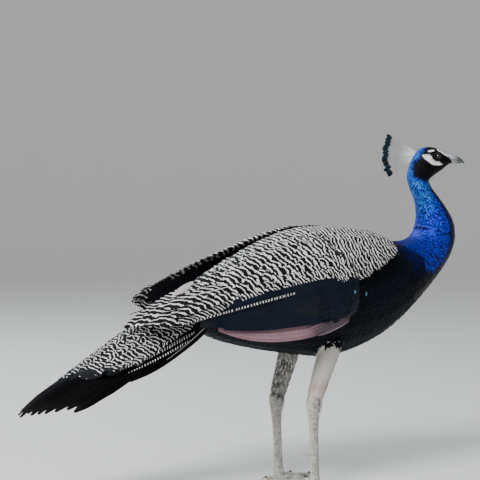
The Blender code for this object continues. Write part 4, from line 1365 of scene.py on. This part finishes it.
# Rusty melanin in a firm web: matt, peppered by a grain of a millimetre, streaked towards the
# shoulder.
rusty, tree, shader, value = plumage("feather_keratin_rusty_pink_web", Roughness=0.6)
grain = add(tree, "TexNoise", {"Vector": value.place, "Scale": 1100, "Detail": 2.0})
factor = add(tree, "MapRange", {0: grain, 1: 0.35, 2: 0.6})
rust = add(tree, "Mix", {0: factor, 6: "#66494f", 7: "#a18089"}, **COLOURS)
streaks = add(tree, "Math", {0: value.across, 1: 2.2}, operation="MULTIPLY")
streaks = add(tree, "Math", {0: streaks}, operation="SINE")
factor = add(tree, "MapRange", {0: streaks, 1: -0.6, 2: 0.8})
grey = add(tree, "Mix", {0: factor, 6: "#1b1a22", 7: "#59525c"}, **COLOURS)
rust = add(tree, "Mix", {0: value.first, 6: rust, 7: grey}, **COLOURS)
rust = add(tree, "Mix", {0: value.second, 6: rust, 7: "#d5bfb9"}, **COLOURS)
rust = add(tree, "Mix", {0: value.shaft, 6: rust, 7: "#6a4a49"}, **COLOURS)
tree.links.new(rust, shader.inputs["Base Color"])

# Keratin without melanin: a pinkish white line or web that stands out from the dark ones.
pale_web, tree, shader, value = plumage("feather_keratin_pale_shaft_and_web", Roughness=0.55)
tint = mottled(tree, value.place, 90, "#b3a5a9", "#d9cfd2")
tree.links.new(tint, shader.inputs["Base Color"])

# %% Secondaries and primaries
SECONDARIES, PRIMARY_COVERTS = 9, 4
COVERT_VANE = [0.5, 0.8, 0.95, 1.0, 1.0, 0.95, 0.85, 0.65, 0.3]
PRIMARY_STEPS = [0.0, 0.5, 1.0]  # how far down each primary lies: the lowest shows a rim


def rust_marks(points, share, across, chance, roots):
    """The front ends of the primaries are greyer and streaked, and their lower rim is pale."""
    grey = np.clip((points[..., 0] - 0.045) / 0.03, 0, 1)
    rim = np.clip((across * np.sign(roots[..., 1]) - 0.7) / 0.25, 0, 1)
    return grey, 0.8 * rim * (roots[..., 2] < 0.2965)


for side_name, side in SIDES.items():
    lines = []
    for low in np.linspace(0, 1, SECONDARIES):
        root = (0.118 + 0.022 * low, 0.1145 - 0.003 * low, 0.362 - 0.048 * low)
        bend = (0.03, 0.1215 - 0.003 * low, 0.349 - 0.048 * low)
        longer = 0.032 * (1 - abs(2 * low - 1))  # those in the middle reach furthest back
        tip = (-0.105 - longer, 0.1075 - 0.003 * low, 0.322 - 0.030 * low)
        lines.append(on_side(side, root, bend, tip))
    secondaries = long_vanes(
        "secondaries_" + side_name, lines, (0.0, side, 0.12), 0.0125, LONG_VANE, dusky,
        "flight_plumage", camber=0.12, patch=0.08, **QUILL
    )
    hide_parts("wing_flight_" + side_name)
    lines = []
    for low in PRIMARY_STEPS:
        root = (0.118, 0.109 + 0.001 * low, 0.303 - 0.006 * low)
        bend = (0.01, 0.1125 + 0.003 * low, 0.277 - 0.021 * low)
        tip = (-0.112, 0.0985 + 0.0005 * low, 0.2920 - 0.002 * low)
        lines.append(on_side(side, root, bend, tip))
    primaries = long_vanes(
        "primaries_" + side_name, lines, (0.0, side, 0.1), 0.0092, LONG_VANE, rusty,
        "primary_plumage", marks=rust_marks, across=RIDGED_SHAFT, camber=0.12, lean=0.5 * side,
        ridge=0.0004, thick=0.0006, blunt=1.2, patch=0.1
    )
    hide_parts("wing_primaries_" + side_name)
    lines = []
    for low in np.linspace(0, 1, PRIMARY_COVERTS):
        root = (0.134 - 0.004 * low, 0.110, 0.3045 - 0.0085 * low)
        bend = (0.095, 0.1145 - 0.0005 * low, 0.2965 - 0.0145 * low)
        tip = (0.052 + 0.014 * low, 0.1155, 0.2865 - 0.013 * low)
        lines.append(on_side(side, root, bend, tip))
    long_vanes(
        "primary_coverts_" + side_name, lines, (0.0, side, 0.1), 0.0036, COVERT_VANE, rusty,
        "primary_plumage", marks=rust_marks, blunt=1.2, patch=0.1
    )

# %% [markdown]
# Below the shield's edge a narrow barred strip shows, the outer web of a tertial that is
# otherwise hidden. Where one long scapular lies askew its pale shaft can be seen, and above it
# the pale inner web of another.

# %% Tertial strip, bare shaft and pale web
STRIP_LINE = [(0.022, 0.1195, 0.3450), (-0.058, 0.1185, 0.3285), (-0.165, 0.104, 0.3025)]
STRIP_WIDTH = np.interp(np.linspace(0, 1, 15), [0, 0.1, 0.5, 0.9, 1], [0.5, 1.0, 0.8, 0.65, 0.3])
STRIP_BARS = 0.0054


def strip_marks(points, share, across, chance, roots):
    return points[..., 0] / STRIP_BARS + chance, 0 * points[..., 0]


for side_name, side in SIDES.items():
    lines = []
    for back, up in ((0.0, 0.0018), (0.018, -0.0018)):
        lines.append(on_side(side, *[(x - back, y, z + up) for x, y, z in STRIP_LINE]))
    long_vanes(
        "tertial_strip_" + side_name, lines, (0.0, side, 0.12), 0.0021, STRIP_WIDTH, barred,
        "barred_plumage", marks=strip_marks, blunt=0.4, patch=0.9
    )

BARE_SHAFT = [(-0.088, -0.0965, 0.3605), (-0.130, -0.0915, 0.352), (-0.172, -0.080, 0.3415)]
PALE_WEB = [(-0.125, -0.054, 0.3665), (-0.155, -0.066, 0.3600), (-0.184, -0.0775, 0.3475)]
WEB_SHAPE = [0.4, 0.7, 0.9, 1.0, 1.0, 1.0, 0.95, 0.85, 0.7, 0.5, 0.2]
long_vanes(
    "pale_web_right", [BARE_SHAFT, PALE_WEB], [(0.0, -1.0, 0.3), (0.0, -0.9, 0.5)],
    [0.0007, 0.0062], WEB_SHAPE, pale_web, "barred_plumage", patch=0.4
)

# %% [markdown]
# The wing's fore edge is wrapped in short black coverts. Two of them on each side lie askew, and
# a painted highlight runs pale blue along the middle of their tips.

# %% Black wing coverts
COVERT_LIFT = 0.0026
PAINTED_GLINT_COVERTS = [(0.142, 0.354), (0.176, 0.344)]  # x and z of their roots, in metres


def glint_marks(points, share, across, chance, roots):
    # painted highlight: a pale blue streak along the middle of the tip
    glint = np.clip(1.3 - 1.6 * np.abs(across), 0, 1) * (share > 0.4)
    return 0 * share * chance, glint + 0 * chance


for side_name, side in SIDES.items():
    flight = "wing_flight_" + side_name
    front = lambda places, normals: (places[:, 0] > 0.085) & (normals[:, 1] * side > -0.3)
    bed = roots_on(flight, evenly(7.5), front)
    path = lay_out(bed, bed["room"] * 2.4, 4, overhang=0.004)
    bed, path = leave_out(bed, path, straightness(path) > 0.75)
    outward = np.clip(path[2][..., 1:2] * side, 0, 1)
    path[0] = path[0] + path[2] * COVERT_LIFT * outward  # to lie over the secondaries
    vane_mesh(
        "wing_coverts_" + side_name, path, bed["room"] * 0.95, SCALE_TIP, dusky, "flight_plumage",
        bed, rise=0.0009, sink=0.0005
    )
    rays = [(Vector((x, side * 0.3, z)), Vector((0, -side, 0))) for x, z in PAINTED_GLINT_COVERTS]
    bed = bed_where(flight, rays, (-0.5, 0.0, -0.87), 0.0022)
    vane_mesh(
        "painted_glint_coverts_" + side_name, lay_out(bed, np.array([0.015, 0.011]), 4, overhang=0.004),
        bed["room"], SCALE_TIP, dusky, "flight_plumage", marks=glint_marks,
        rise=COVERT_LIFT + 0.0022, patch=0.3
    )

# %% [markdown]
# ## Tail
#
# The train's plumes have been dropped, so the true tail shows: eighteen stiff dark feathers in
# an arched fan, the middle ones longest and uppermost. Their tips are worn.

# %% Tail feathers
RECTRICES = 18
# x, ridge height, half-width and fall of the sides, in metres, from the tail's base to its tip
TAIL_ARCH = np.array([
    (-0.115, 0.322, 0.030, 0.030), (-0.160, 0.306, 0.044, 0.046), (-0.210, 0.282, 0.051, 0.056),
    (-0.260, 0.257, 0.054, 0.059), (-0.310, 0.231, 0.055, 0.056), (-0.350, 0.208, 0.051, 0.046),
    (-0.385, 0.187, 0.042, 0.034), (-0.410, 0.168, 0.029, 0.021), (-0.423, 0.156, 0.014, 0.008),
])
WIDEST = -0.26  # x behind which the feathers no longer spread
# Where each feather ends in x, by its place from the middle to the side.
TAIL_ENDS = ([0.0, 0.25, 0.5, 0.75, 1.0], [-0.421, -0.417, -0.402, -0.372, -0.335])
TAIL_ROWS = 20
TAIL_WIDTH = ([0, 0.1, 0.3, 0.75, 0.9, 0.97, 1], [0.4, 0.8, 1, 1, 0.8, 0.5, 0.2])


def tail_place(x, c):
    """A place on the arch of the tail: c runs from -1 on the bird's right to 1 on its left."""
    ridge, width, fall = (np.interp(-x, -TAIL_ARCH[:, 0], TAIL_ARCH[:, i]) for i in (1, 2, 3))
    base_width = np.interp(-np.maximum(x, WIDEST), -TAIL_ARCH[:, 0], TAIL_ARCH[:, 2])
    reach = np.minimum(np.abs(c) * base_width / np.maximum(width, 1e-3), 1.0)
    aside = np.sign(c) * np.minimum(np.abs(c) * base_width, width)
    return np.stack([x, aside, ridge - fall * reach**2], axis=-1)


# Stiff, sun-bleached keratin: nearly without gloss, and brown where the tips are worn.
worn, tree, shader, value = plumage("feather_keratin_dark_brown_worn", 0.2, 0.04, Roughness=0.6)
web = mottled(tree, value.place, 60, "#010102", "#040405")
factor = add(tree, "MapRange", {0: value.share, 1: 0.9, 2: 1.0, 3: 0.0, 4: 0.4})
web = add(tree, "Mix", {0: factor, 6: web, 7: "#241f1b"}, **COLOURS)
web = add(tree, "Mix", {0: value.shaft, 6: web, 7: "#1a1819"}, **COLOURS)
tree.links.new(web, shader.inputs["Base Color"])

paths = [np.empty((RECTRICES, TAIL_ROWS + 1, 3)) for _ in range(3)]
for k in range(RECTRICES):
    c = -1 + 2 * (k + 0.5) / RECTRICES
    end = np.interp(abs(c), *TAIL_ENDS) + rng.uniform(-0.004, 0.004)
    x = np.linspace(-0.12, end, TAIL_ROWS + 1)
    across_c = c * np.linspace(0.75, 1.0, TAIL_ROWS + 1)
    line = tail_place(x, across_c)
    beside = tail_place(x, across_c + 0.05)
    way = np.gradient(line, axis=0)
    way /= np.linalg.norm(way, axis=1)[:, None]
    up = np.cross(beside - line, way) * -1
    up /= np.linalg.norm(up, axis=1)[:, None]
    up *= np.sign(up[:, 2:3])
    line = line + up * (0.003 * (1 - abs(c)) - 0.001)
    paths[0][k], paths[1][k], paths[2][k] = line, way, up
tail_feathers = vane_mesh(
    "tail_feathers", paths, np.full(RECTRICES, 0.0125),
    np.interp(np.linspace(0, 1, TAIL_ROWS + 1), *TAIL_WIDTH), worn, "tail_plumage", camber=0.1,
    patch=0.05, **QUILL
)
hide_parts("tail")

# %% [markdown]
# On each side the outermost tail feather hangs lower than the rest, with a pale shaft. Above it
# the outer webs of two long coverts show as barred strips, with dark lines between.

# %% Outermost feathers and barred strips
# Root, bend and tip of each, on the bird's left, in metres.
HANGING = [
    [(-0.100, 0.036, 0.294), (-0.165, 0.052, 0.254), (-0.245, 0.040, 0.206)],
    [(-0.105, 0.030, 0.300), (-0.200, 0.050, 0.245), (-0.300, 0.030, 0.186)],
]
PALE_SHAFT = [(-0.106, 0.040, 0.2890), (-0.143, 0.053, 0.2640), (-0.182, 0.050, 0.2390)]
EDGE_STRIPS = [
    [(-0.128, 0.047, 0.2835), (-0.195, 0.057, 0.2520), (-0.266, 0.050, 0.2270)],
    [(-0.140, 0.052, 0.2705), (-0.195, 0.059, 0.2430), (-0.255, 0.053, 0.2215)],
]
SHAFT_WIDTH = [0.7, 1.0, 1.0, 0.9, 0.8, 0.7, 0.6, 0.45, 0.2]
EDGE_WIDTH = np.interp(np.linspace(0, 1, 17), [0, 0.1, 0.8, 1], [0.5, 1.0, 0.8, 0.2])
EDGE_BARS = 0.0046


def edge_marks(points, share, across, chance, roots):
    return points[..., 0] / EDGE_BARS, 0 * points[..., 0]


for side_name, side in SIDES.items():
    long_vanes(
        "outer_rectrices_" + side_name, [on_side(side, *line) for line in HANGING],
        (0.0, side, 0.25), [0.012, 0.013], LONG_VANE, worn, "tail_plumage", camber=0.15,
        patch=0.4, **QUILL
    )
    long_vanes(
        "pale_shaft_" + side_name, [on_side(side, *PALE_SHAFT)], (0.0, side, 0.1), 0.0008,
        SHAFT_WIDTH, pale_web, "tail_plumage", patch=0.9
    )
    long_vanes(
        "covert_strips_" + side_name, [on_side(side, *line) for line in EDGE_STRIPS],
        (0.0, side, 0.3), [0.0028, 0.0018], EDGE_WIDTH, barred, "barred_plumage",
        marks=edge_marks, patch=0.4
    )

# %% [markdown]
# ## Legs and feet
#
# The thigh is clad in short soft cream feathers. Black flank feathers hang over its top in
# points, and a tuft hangs over the front of the heel. Below it the shank has two rows of broad
# plates in front and small scales elsewhere. A plate overlaps the next like a feather does, so
# the same builder makes them, short and stiff.

# %% Thigh feathers
POINTED = [0.5, 0.9, 1.0, 0.78, 0.3]
TUFT_TIP = [0.6, 0.9, 1.0, 1.0, 0.8, 0.55, 0.2]
TUFTS = 9
CREAM_TO, FRINGE_FROM = 0.254, 0.252  # heights where cream feathers end and black ones begin


def thigh_marks(points, share, across, chance, roots):
    """The left thigh is a grey mottle, painted shade away from the lamp, and the right one flushed
    pink above the heel.
    """
    left = (roots[..., 1] > 0) * 1.0 + 0 * share
    pink = np.clip(1 - np.abs(points[..., 2] - 0.178) / 0.016, 0, 1) * (1 - left)
    return left, pink


for side_name, side in SIDES.items():
    thigh = "thigh_" + side_name
    bed = roots_on(thigh, evenly(4.2), lambda places, normals: places[:, 2] < CREAM_TO)
    lengths = bed["room"] * 2.8 * rng.uniform(0.85, 1.15, len(bed["room"]))
    vane_mesh(
        thigh + "_feathers", lay_out(bed, lengths, 4, overhang=0.004), bed["room"] * 0.6, POINTED,
        cream, "leg_plumage", bed, thigh_marks, rise=0.0014
    )
    bed = roots_on(thigh, evenly(3.0), lambda places, normals: places[:, 2] > FRINGE_FROM)
    bed["ways"][:] = (-0.25, 0.0, -1.0)
    path = lay_out(bed, 0.004 + 0.013 * rng.random(len(bed["room"])) ** 1.6, 4, overhang=0.006)
    bed, path = leave_out(bed, path, straightness(path) > 0.8)
    vane_mesh(
        "flank_fringe_" + side_name, path, bed["room"] * 0.8, POINTED, black, "body_plumage", bed,
        rise=0.0022
    )
    heel = Vector(LEG_JOINTS[side_name][1])
    lines, outward = [], []
    for k in range(TUFTS):
        turn = math.radians(-70 + 17 * k)
        out = Vector((math.cos(turn), math.sin(turn), 0))
        hang = 0.012 + 0.014 * math.cos(turn) ** 4 + 0.003 * (k % 3)  # the front ones are longest
        root = heel + out * 0.0085 + Vector((0.003, 0, 0.016))
        bend = heel + out * 0.0125 + Vector((0.002, 0, 0.004))
        lines.append((root, bend, heel + out * 0.0105 + Vector((0.001, 0, -hang))))
        outward.append(((bend - heel).x, (bend - heel).y, 0.0))
    long_vanes(
        "heel_tuft_" + side_name, lines, outward, 0.0021, TUFT_TIP, cream, "leg_plumage",
        rise=0.001, marks=thigh_marks, patch=0.05
    )

# %% [markdown]
# Seen from outside, the shank is straw-coloured behind, partly the scales' own tint and partly a
# painted highlight where the lamp falls, and paler in front, with a broken line of dark spots
# between. The inner side is grey.

# %% Plates and scales of shank and toes
def leg_marks(points, share, across, chance, roots):
    """Straw colour behind, partly a painted highlight, and the dark spots along the outer side."""
    side = np.where(roots[..., 1] > 0, 1.0, -1.0)
    height = np.clip(roots[..., 2] / 0.155, 0, 1)[..., None]
    heels, soles = (np.array([LEG_JOINTS[name][i] for name in SIDES]) for i in (1, 2))
    left = (side > 0).astype(int)
    axis = soles[left] * (1 - height) + heels[left] * height
    offset = roots - axis
    turn = np.degrees(np.arctan2(-offset[..., 0], offset[..., 1] * side))  # 0 outside, 90 behind
    # painted highlight with a straw tint on the back of the shank
    straw = np.clip(1 - np.abs(turn - 80) / 55, 0, 1) + 0 * share
    dark = np.clip(1.4 - np.abs(turn - 32) / 14, 0, 1) * (np.sin(roots[..., 2] * 700) > -0.3)
    toes = roots[..., 2] < 0.012
    return straw, np.where(toes, 0.5 * (chance > 0.6), dark) + 0 * share


PLATE = [0.8, 1.0, 1.0, 0.8]
PLATE_ROWS = 27
TOE_PLATE = 0.0034  # length of a toe's plates, in metres
for side_name, side in SIDES.items():
    shank = "tarsus_" + side_name
    small = roots_on(shank, evenly(2.7), region="feet")
    vane_mesh(
        shank + "_scales", lay_out(small, small["room"] * 1.7, 3, overhang=0.001),
        small["room"] * 0.62, PLATE, leg_scale, "leg_skin", small, leg_marks, rise=0.0004,
        thick=0.0003
    )
    heel, sole = (Vector(p) for p in LEG_JOINTS[side_name][1:])
    rays = []
    for k in range(PLATE_ROWS):
        middle_line = heel.lerp(sole, 0.04 + 0.88 * k / PLATE_ROWS)
        for turn in (math.radians(-28), math.radians(28)):
            out = Vector((math.cos(turn), math.sin(turn), 0))
            rays.append((middle_line + out * 0.02 - Vector((0, 0, 0.0025 * (turn > 0))), -out))
    bed = bed_where(shank, rays, (sole - heel).normalized(), 0.0052)
    vane_mesh(
        shank + "_plates", lay_out(bed, bed["room"] * 1.35, 3, overhang=0.001), bed["room"] * 0.62,
        PLATE, leg_scale, "leg_skin", bed, leg_marks, rise=0.0006, camber=0.3, thick=0.0005,
        patch=0.02
    )
    for toe in TOE_HEADINGS:
        tract = f"toe_{toe}_{side_name}"
        small = roots_on(tract, evenly(2.2), lambda places, normals: normals[:, 2] > -0.4, "feet")
        start, end = LINES[tract]
        count = int(TOE_LENGTHS[toe] / TOE_PLATE)
        above = [start.lerp(end, (k + 0.8) / count) + Vector((0, 0, 0.03)) for k in range(count)]
        rays = [(place, Vector((0, 0, -1))) for place in above]
        plates = bed_where(tract, rays, (end - start).normalized(), 0.0036, below=0.02)
        joined = {key: np.concatenate([small[key], plates[key]]) for key in BED_ARRAYS}
        joined["tract"] = tract
        vane_mesh(
            tract + "_scales", lay_out(joined, joined["room"] * 1.6, 3, overhang=0.001),
            joined["room"] * np.where(joined["room"] > 0.003, 0.85, 0.6), PLATE, leg_scale,
            "leg_skin", joined, leg_marks, rise=0.0004, camber=0.3, thick=0.0003, patch=0.02
        )

# %% [markdown]
# Claws and spurs are smooth horn, grown in layers from a bony core. The spur is paler.

# %% Horn: claws and spurs
def horn(name, dark, pale, roughness):
    """Smooth keratin with faint growth lines."""
    made, tree, shader = new_material(name, Roughness=roughness, IOR=1.54)
    place = add(tree, "TexCoord", out="Object")
    tint = mottled(tree, place, 300, dark, pale)
    tree.links.new(tint, shader.inputs["Base Color"])
    lines = add(tree, "TexWave", {"Vector": place, "Scale": 260, "Distortion": 3.0})
    bump = add(tree, "Bump", {"Height": lines, "Strength": 0.25, "Distance": 0.0002})
    tree.links.new(bump, shader.inputs["Normal"])
    return made


# Claws are polished by the ground and show a soft highlight, spurs are paler and chalkier.
claw_horn = horn("horn_keratin_dark_polished", "#2b2622", "#5a5047", 0.32)
spur_horn = horn("horn_keratin_pale_worn", "#8f8b84", "#c9c4ba", 0.4)
for node_name in sorted(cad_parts):
    if node_name.startswith(("claw_", "spur_")):
        mesh = merged(node_name + "_horn", [node_name], 0.00035, 0.0)
        relax(mesh, 4)
        mesh.shade_smooth()
        finish = claw_horn if node_name.startswith("claw_") else spur_horn
        piece = place_piece(node_name + "_horn", mesh, finish)
        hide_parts(node_name)

# %% [markdown]
# ## Eyes, lids and bill
#
# A bird's eye nearly fills its socket, and only the clear cornea and the iris show between the
# lids. The ball is a sphere with the cornea's bulge. Its iris is dark brown with fine spokes,
# and a wet coat covers it. The lids are a rounded ring of bare skin that hugs the ball.

# %% Eyes
EYE_RADIUS, EYE_GAZE = 0.0066, 0.22  # the gaze is turned this share forwards


def around_eye(side):
    """The frame of one eye: z along its gaze, x forwards."""
    gaze = Vector((EYE_GAZE, side, 0.06)).normalized()
    ahead = Vector((1, 0, 0))
    ahead = (ahead - gaze * ahead.dot(gaze)).normalized()
    turned = Matrix((ahead, gaze.cross(ahead), gaze)).transposed().to_4x4()
    return Matrix.Translation(eye_middle(side)) @ HEAD_FRAME.to_3x3().to_4x4() @ turned


# A clear cornea wetted by tears: a sharp small highlight over a brown iris and a black pupil.
wet, tree, shader = new_material("eye_wet_cornea_over_brown_iris", Roughness=0.5, IOR=1.376)
shader.inputs["Coat Weight"].default_value = 1.0
shader.inputs["Coat Roughness"].default_value = 0.02
shader.inputs["Specular IOR Level"].default_value = 0.1
place = add(tree, "TexCoord", out="Object")
x, y, z = add(tree, "SeparateXYZ", {0: place}, out=None)
flat = add(tree, "CombineXYZ", {0: x, 1: y})
radius = add(tree, "VectorMath", {0: flat}, out="Value", operation="LENGTH")
turn = add(tree, "Math", {0: y, 1: x}, operation="ARCTAN2")
spokes = add(tree, "CombineXYZ", {0: add(tree, "Math", {0: turn, 1: 9.0}, operation="MULTIPLY")})
spokes = add(tree, "TexNoise", {"Vector": spokes, "Scale": 1.5, "Detail": 4.0})
factor = add(tree, "MapRange", {0: spokes, 1: 0.3, 2: 0.7})
iris = add(tree, "Mix", {0: factor, 6: "#1a0c05", 7: "#3f200d"}, **COLOURS)
factor = add(tree, "MapRange", {0: radius, 1: 0.0036, 2: 0.0045})
iris = add(tree, "Mix", {0: factor, 6: iris, 7: "#0c0705"}, **COLOURS)
factor = add(tree, "MapRange", {0: radius, 1: 0.0021, 2: 0.0023, 3: 1.0, 4: 0.0})
iris = add(tree, "Mix", {0: factor, 6: iris, 7: "#010101"}, **COLOURS)
tree.links.new(iris, shader.inputs["Base Color"])

for side_name, side in SIDES.items():
    ball = bmesh.new()
    bmesh.ops.create_uvsphere(ball, u_segments=48, v_segments=32, radius=EYE_RADIUS)
    for vertex in ball.verts:
        tilt = vertex.co.angle(Vector((0, 0, 1)))
        vertex.co *= 1 + 0.07 * max(0.0, math.cos(min(tilt / math.radians(42), 1) * math.pi / 2)) ** 2
    mesh = bpy.data.meshes.new("eyeball_" + side_name)
    ball.to_mesh(mesh)
    ball.free()
    mesh.shade_smooth()
    eyeball = place_piece("eyeball_" + side_name, mesh, wet)
    eyeball.matrix_world = around_eye(side)
    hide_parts("eye_" + side_name)

# %% Eyelids
# Thin skin without feathers: slate grey and matt, creased all round.
lid_skin, tree, shader = new_material("bare_skin_eyelid_slate", Roughness=0.7, Specular_IOR_Level=0.25)
place = add(tree, "TexCoord", out="Object")
tint = mottled(tree, place, 600, "#07080c", "#191c24")
tree.links.new(tint, shader.inputs["Base Color"])
creases = add(tree, "TexNoise", {"Vector": place, "Scale": 1500, "Detail": 2.0})
bump = add(tree, "Bump", {"Height": creases, "Strength": 0.5, "Distance": 0.0003})
tree.links.new(bump, shader.inputs["Normal"])

LID_AROUND = 64
# Past the opening, and over the ball there, in metres.
LID_CROWN = [(0.0001, 0.0006), (0.0006, 0.0007), (0.0012, 0.0002)]
BRIM_FROM = 0.02  # height over the eye's middle from which a ray looks for the face's skin
for side_name, side in SIDES.items():
    eye_frame = around_eye(side)
    gaze = eye_frame.to_3x3() @ Vector((0, 0, 1))
    lid_points, lid_faces = [], []
    for k in range(LID_AROUND):
        turn = 2 * math.pi * k / LID_AROUND
        out = Vector((math.cos(turn), math.sin(turn), 0))
        opening = 0.0047 + 0.0006 * math.cos(2 * turn)
        at_ball = math.sqrt(EYE_RADIUS**2 - opening**2)
        inside = math.sqrt(EYE_RADIUS**2 - (opening + 0.0004) ** 2)
        ring = [(opening + 0.0004, inside - 0.0006), (opening, at_ball + 0.0001)]
        ring += [(opening + wider, at_ball + higher) for wider, higher in LID_CROWN]
        brim = eye_frame @ (out * 0.0085 + Vector((0, 0, BRIM_FROM)))
        brim_height = BRIM_FROM - ground_tree.ray_cast(brim, -gaze)[3]
        ring.append((0.0072, brim_height * 0.6 + ring[-1][1] * 0.4))
        ring += [(0.0086, brim_height + 0.0001), (0.0090, brim_height - 0.0008)]
        lid_points += [eye_frame @ (out * r + Vector((0, 0, h))) for r, h in ring]
    size = len(lid_points) // LID_AROUND
    for k in range(LID_AROUND):
        after = (k + 1) % LID_AROUND
        for i in range(size):
            j = (i + 1) % size
            lid_faces.append((k * size + i, k * size + j, after * size + j, after * size + i))
    mesh = bpy.data.meshes.new("eyelids_" + side_name)
    mesh.from_pydata(lid_points, [], lid_faces)
    fixed = bmesh.new()
    fixed.from_mesh(mesh)
    bmesh.ops.recalc_face_normals(fixed, faces=fixed.faces)
    bmesh.ops.subdivide_edges(fixed, edges=fixed.edges, cuts=1, smooth=0.6, use_grid_fill=True)
    fixed.to_mesh(mesh)
    fixed.free()
    mesh.shade_smooth()
    place_piece("eyelids_" + side_name, mesh, lid_skin)

# %% [markdown]
# The bill is bone under a sheath of horn, pale grey and a little translucent at its edges. The
# nostrils are slots half covered by a soft lid near its base.

# %% Bill
# Satin horn: a broad soft highlight, darker at the tip, and painted shade in the nostrils.
bill_horn = horn("horn_keratin_pale_grey_satin", "#9b9fa2", "#cdd0d0", 0.38)
tree = bill_horn.node_tree
shader = tree.nodes["Principled BSDF"]
depth = add(tree, "Attribute", out="Fac", attribute_name="nostril")
sheath = shader.inputs["Base Color"].links[0].from_socket
ahead = add(tree, "SeparateXYZ", {0: add(tree, "TexCoord", out="Object")})
base, tip = (in_head(x, 0, 5).x for x in (38, 55))
factor = add(tree, "MapRange", {0: ahead, 1: base, 2: tip})
sheath = add(tree, "Mix", {0: factor, 6: sheath, 7: "#3f4347"}, **COLOURS)
# Painted shade: the nostril mark darkens the hollows of the nostrils.
tinted = add(tree, "Mix", {0: depth, 6: sheath, 7: "#15110f"}, **COLOURS)
tree.links.new(tinted, shader.inputs["Base Color"])
NOSTRILS = [(37.5, side * 5.6, 9.0) for side in SIDES.values()]
SLOT_REACH = np.array((2.6, 4.0, 0.9))  # half a nostril's length, depth and height; millimetres
SLOT_DEPTH = 0.0014
for half in ("bill_upper", "bill_lower"):
    mesh = merged(half + "_horn", [half], 0.0005, 0.0)
    relax(mesh, 6)
    points = read(mesh).astype(float)
    normals = read(mesh, "vertex_normals", "vector").astype(float)
    local = (points @ TO_HEAD[:3, :3].T + TO_HEAD[:3, 3]) * 1000
    hollow = np.zeros(len(points))
    for x, y, z in NOSTRILS:
        from_slot = (local - np.array((x, y, z))) / SLOT_REACH
        hollow = np.maximum(hollow, np.exp(-(from_slot**2).sum(axis=1)))
    layer = mesh.attributes.new("nostril", "FLOAT", "POINT")
    layer.data.foreach_set("value", np.clip(hollow * 1.6 - 0.5, 0, 1).astype(np.float32))
    reshape(mesh, points - normals * SLOT_DEPTH * hollow[:, None])
    mesh.shade_smooth()
    piece = place_piece(half + "_horn", mesh, bill_horn)
    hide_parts(half)

# %% [markdown]
# ## Crest
#
# Two dozen wiry feathers rise from the back of the crown in a fan. Each is a bare pale shaft
# with a small spatula of blue-green barbs at its end.

# %% Crest feathers
CREST_FEATHERS = 24
# A bare white shaft, then close barbs that throw back a dark blue-green.
wiry, tree, shader, value = plumage("crest_feather_white_shaft_blue_green_tip", Roughness=0.45)
factor = add(tree, "MapRange", {0: value.share, 1: 0.2, 2: 0.6})
shaft_tint = add(tree, "Mix", {0: factor, 6: "#f2f3ee", 7: "#7d8483"}, **COLOURS)
tip_tint = mottled(tree, value.place, 300, "#050d14", "#0e2d3a")
factor = add(tree, "MapRange", {0: value.share, 1: 0.8, 2: 0.85})
tint = add(tree, "Mix", {0: factor, 6: shaft_tint, 7: tip_tint}, **COLOURS)
tree.links.new(tint, shader.inputs["Base Color"])

SPATULA = ([0.0, 0.79, 0.84, 0.90, 0.95, 0.98, 1.0], [0.11, 0.075, 0.35, 0.85, 1.0, 0.8, 0.35])
SPATULA = np.interp(np.linspace(0, 1, 25), *SPATULA)  # a thread, then the small spatula
lines, outward = [], []
for k in range(CREST_FEATHERS):
    share = k / (CREST_FEATHERS - 1)
    aside = rng.uniform(-9, 9)
    tip = (-76 - 8 * math.sin(math.pi * share) + rng.uniform(-1.5, 1.5), aside, 49 - 74 * share)
    root = (-21 - 3 * math.sin(math.pi * share), aside * 0.15, 17 - 8 * share)
    bend = [0.5 * (a + b) for a, b in zip(root, tip)]
    bend[2] += 5.0 * (0.5 - share)
    lines.append([in_head(*p) for p in (root, bend, tip)])
    turned = HEAD_FRAME.to_3x3() @ Vector((rng.uniform(-0.3, 0.3), -1, rng.uniform(-0.4, 0.4)))
    outward.append(tuple(turned))
crest_feathers = long_vanes(
    "crest_feathers", lines, outward, 0.0034, SPATULA, wiry, "crest_plumage", sink=0.0,
    camber=0.15, thick=0.0006, patch=0.04
)
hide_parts("crest")
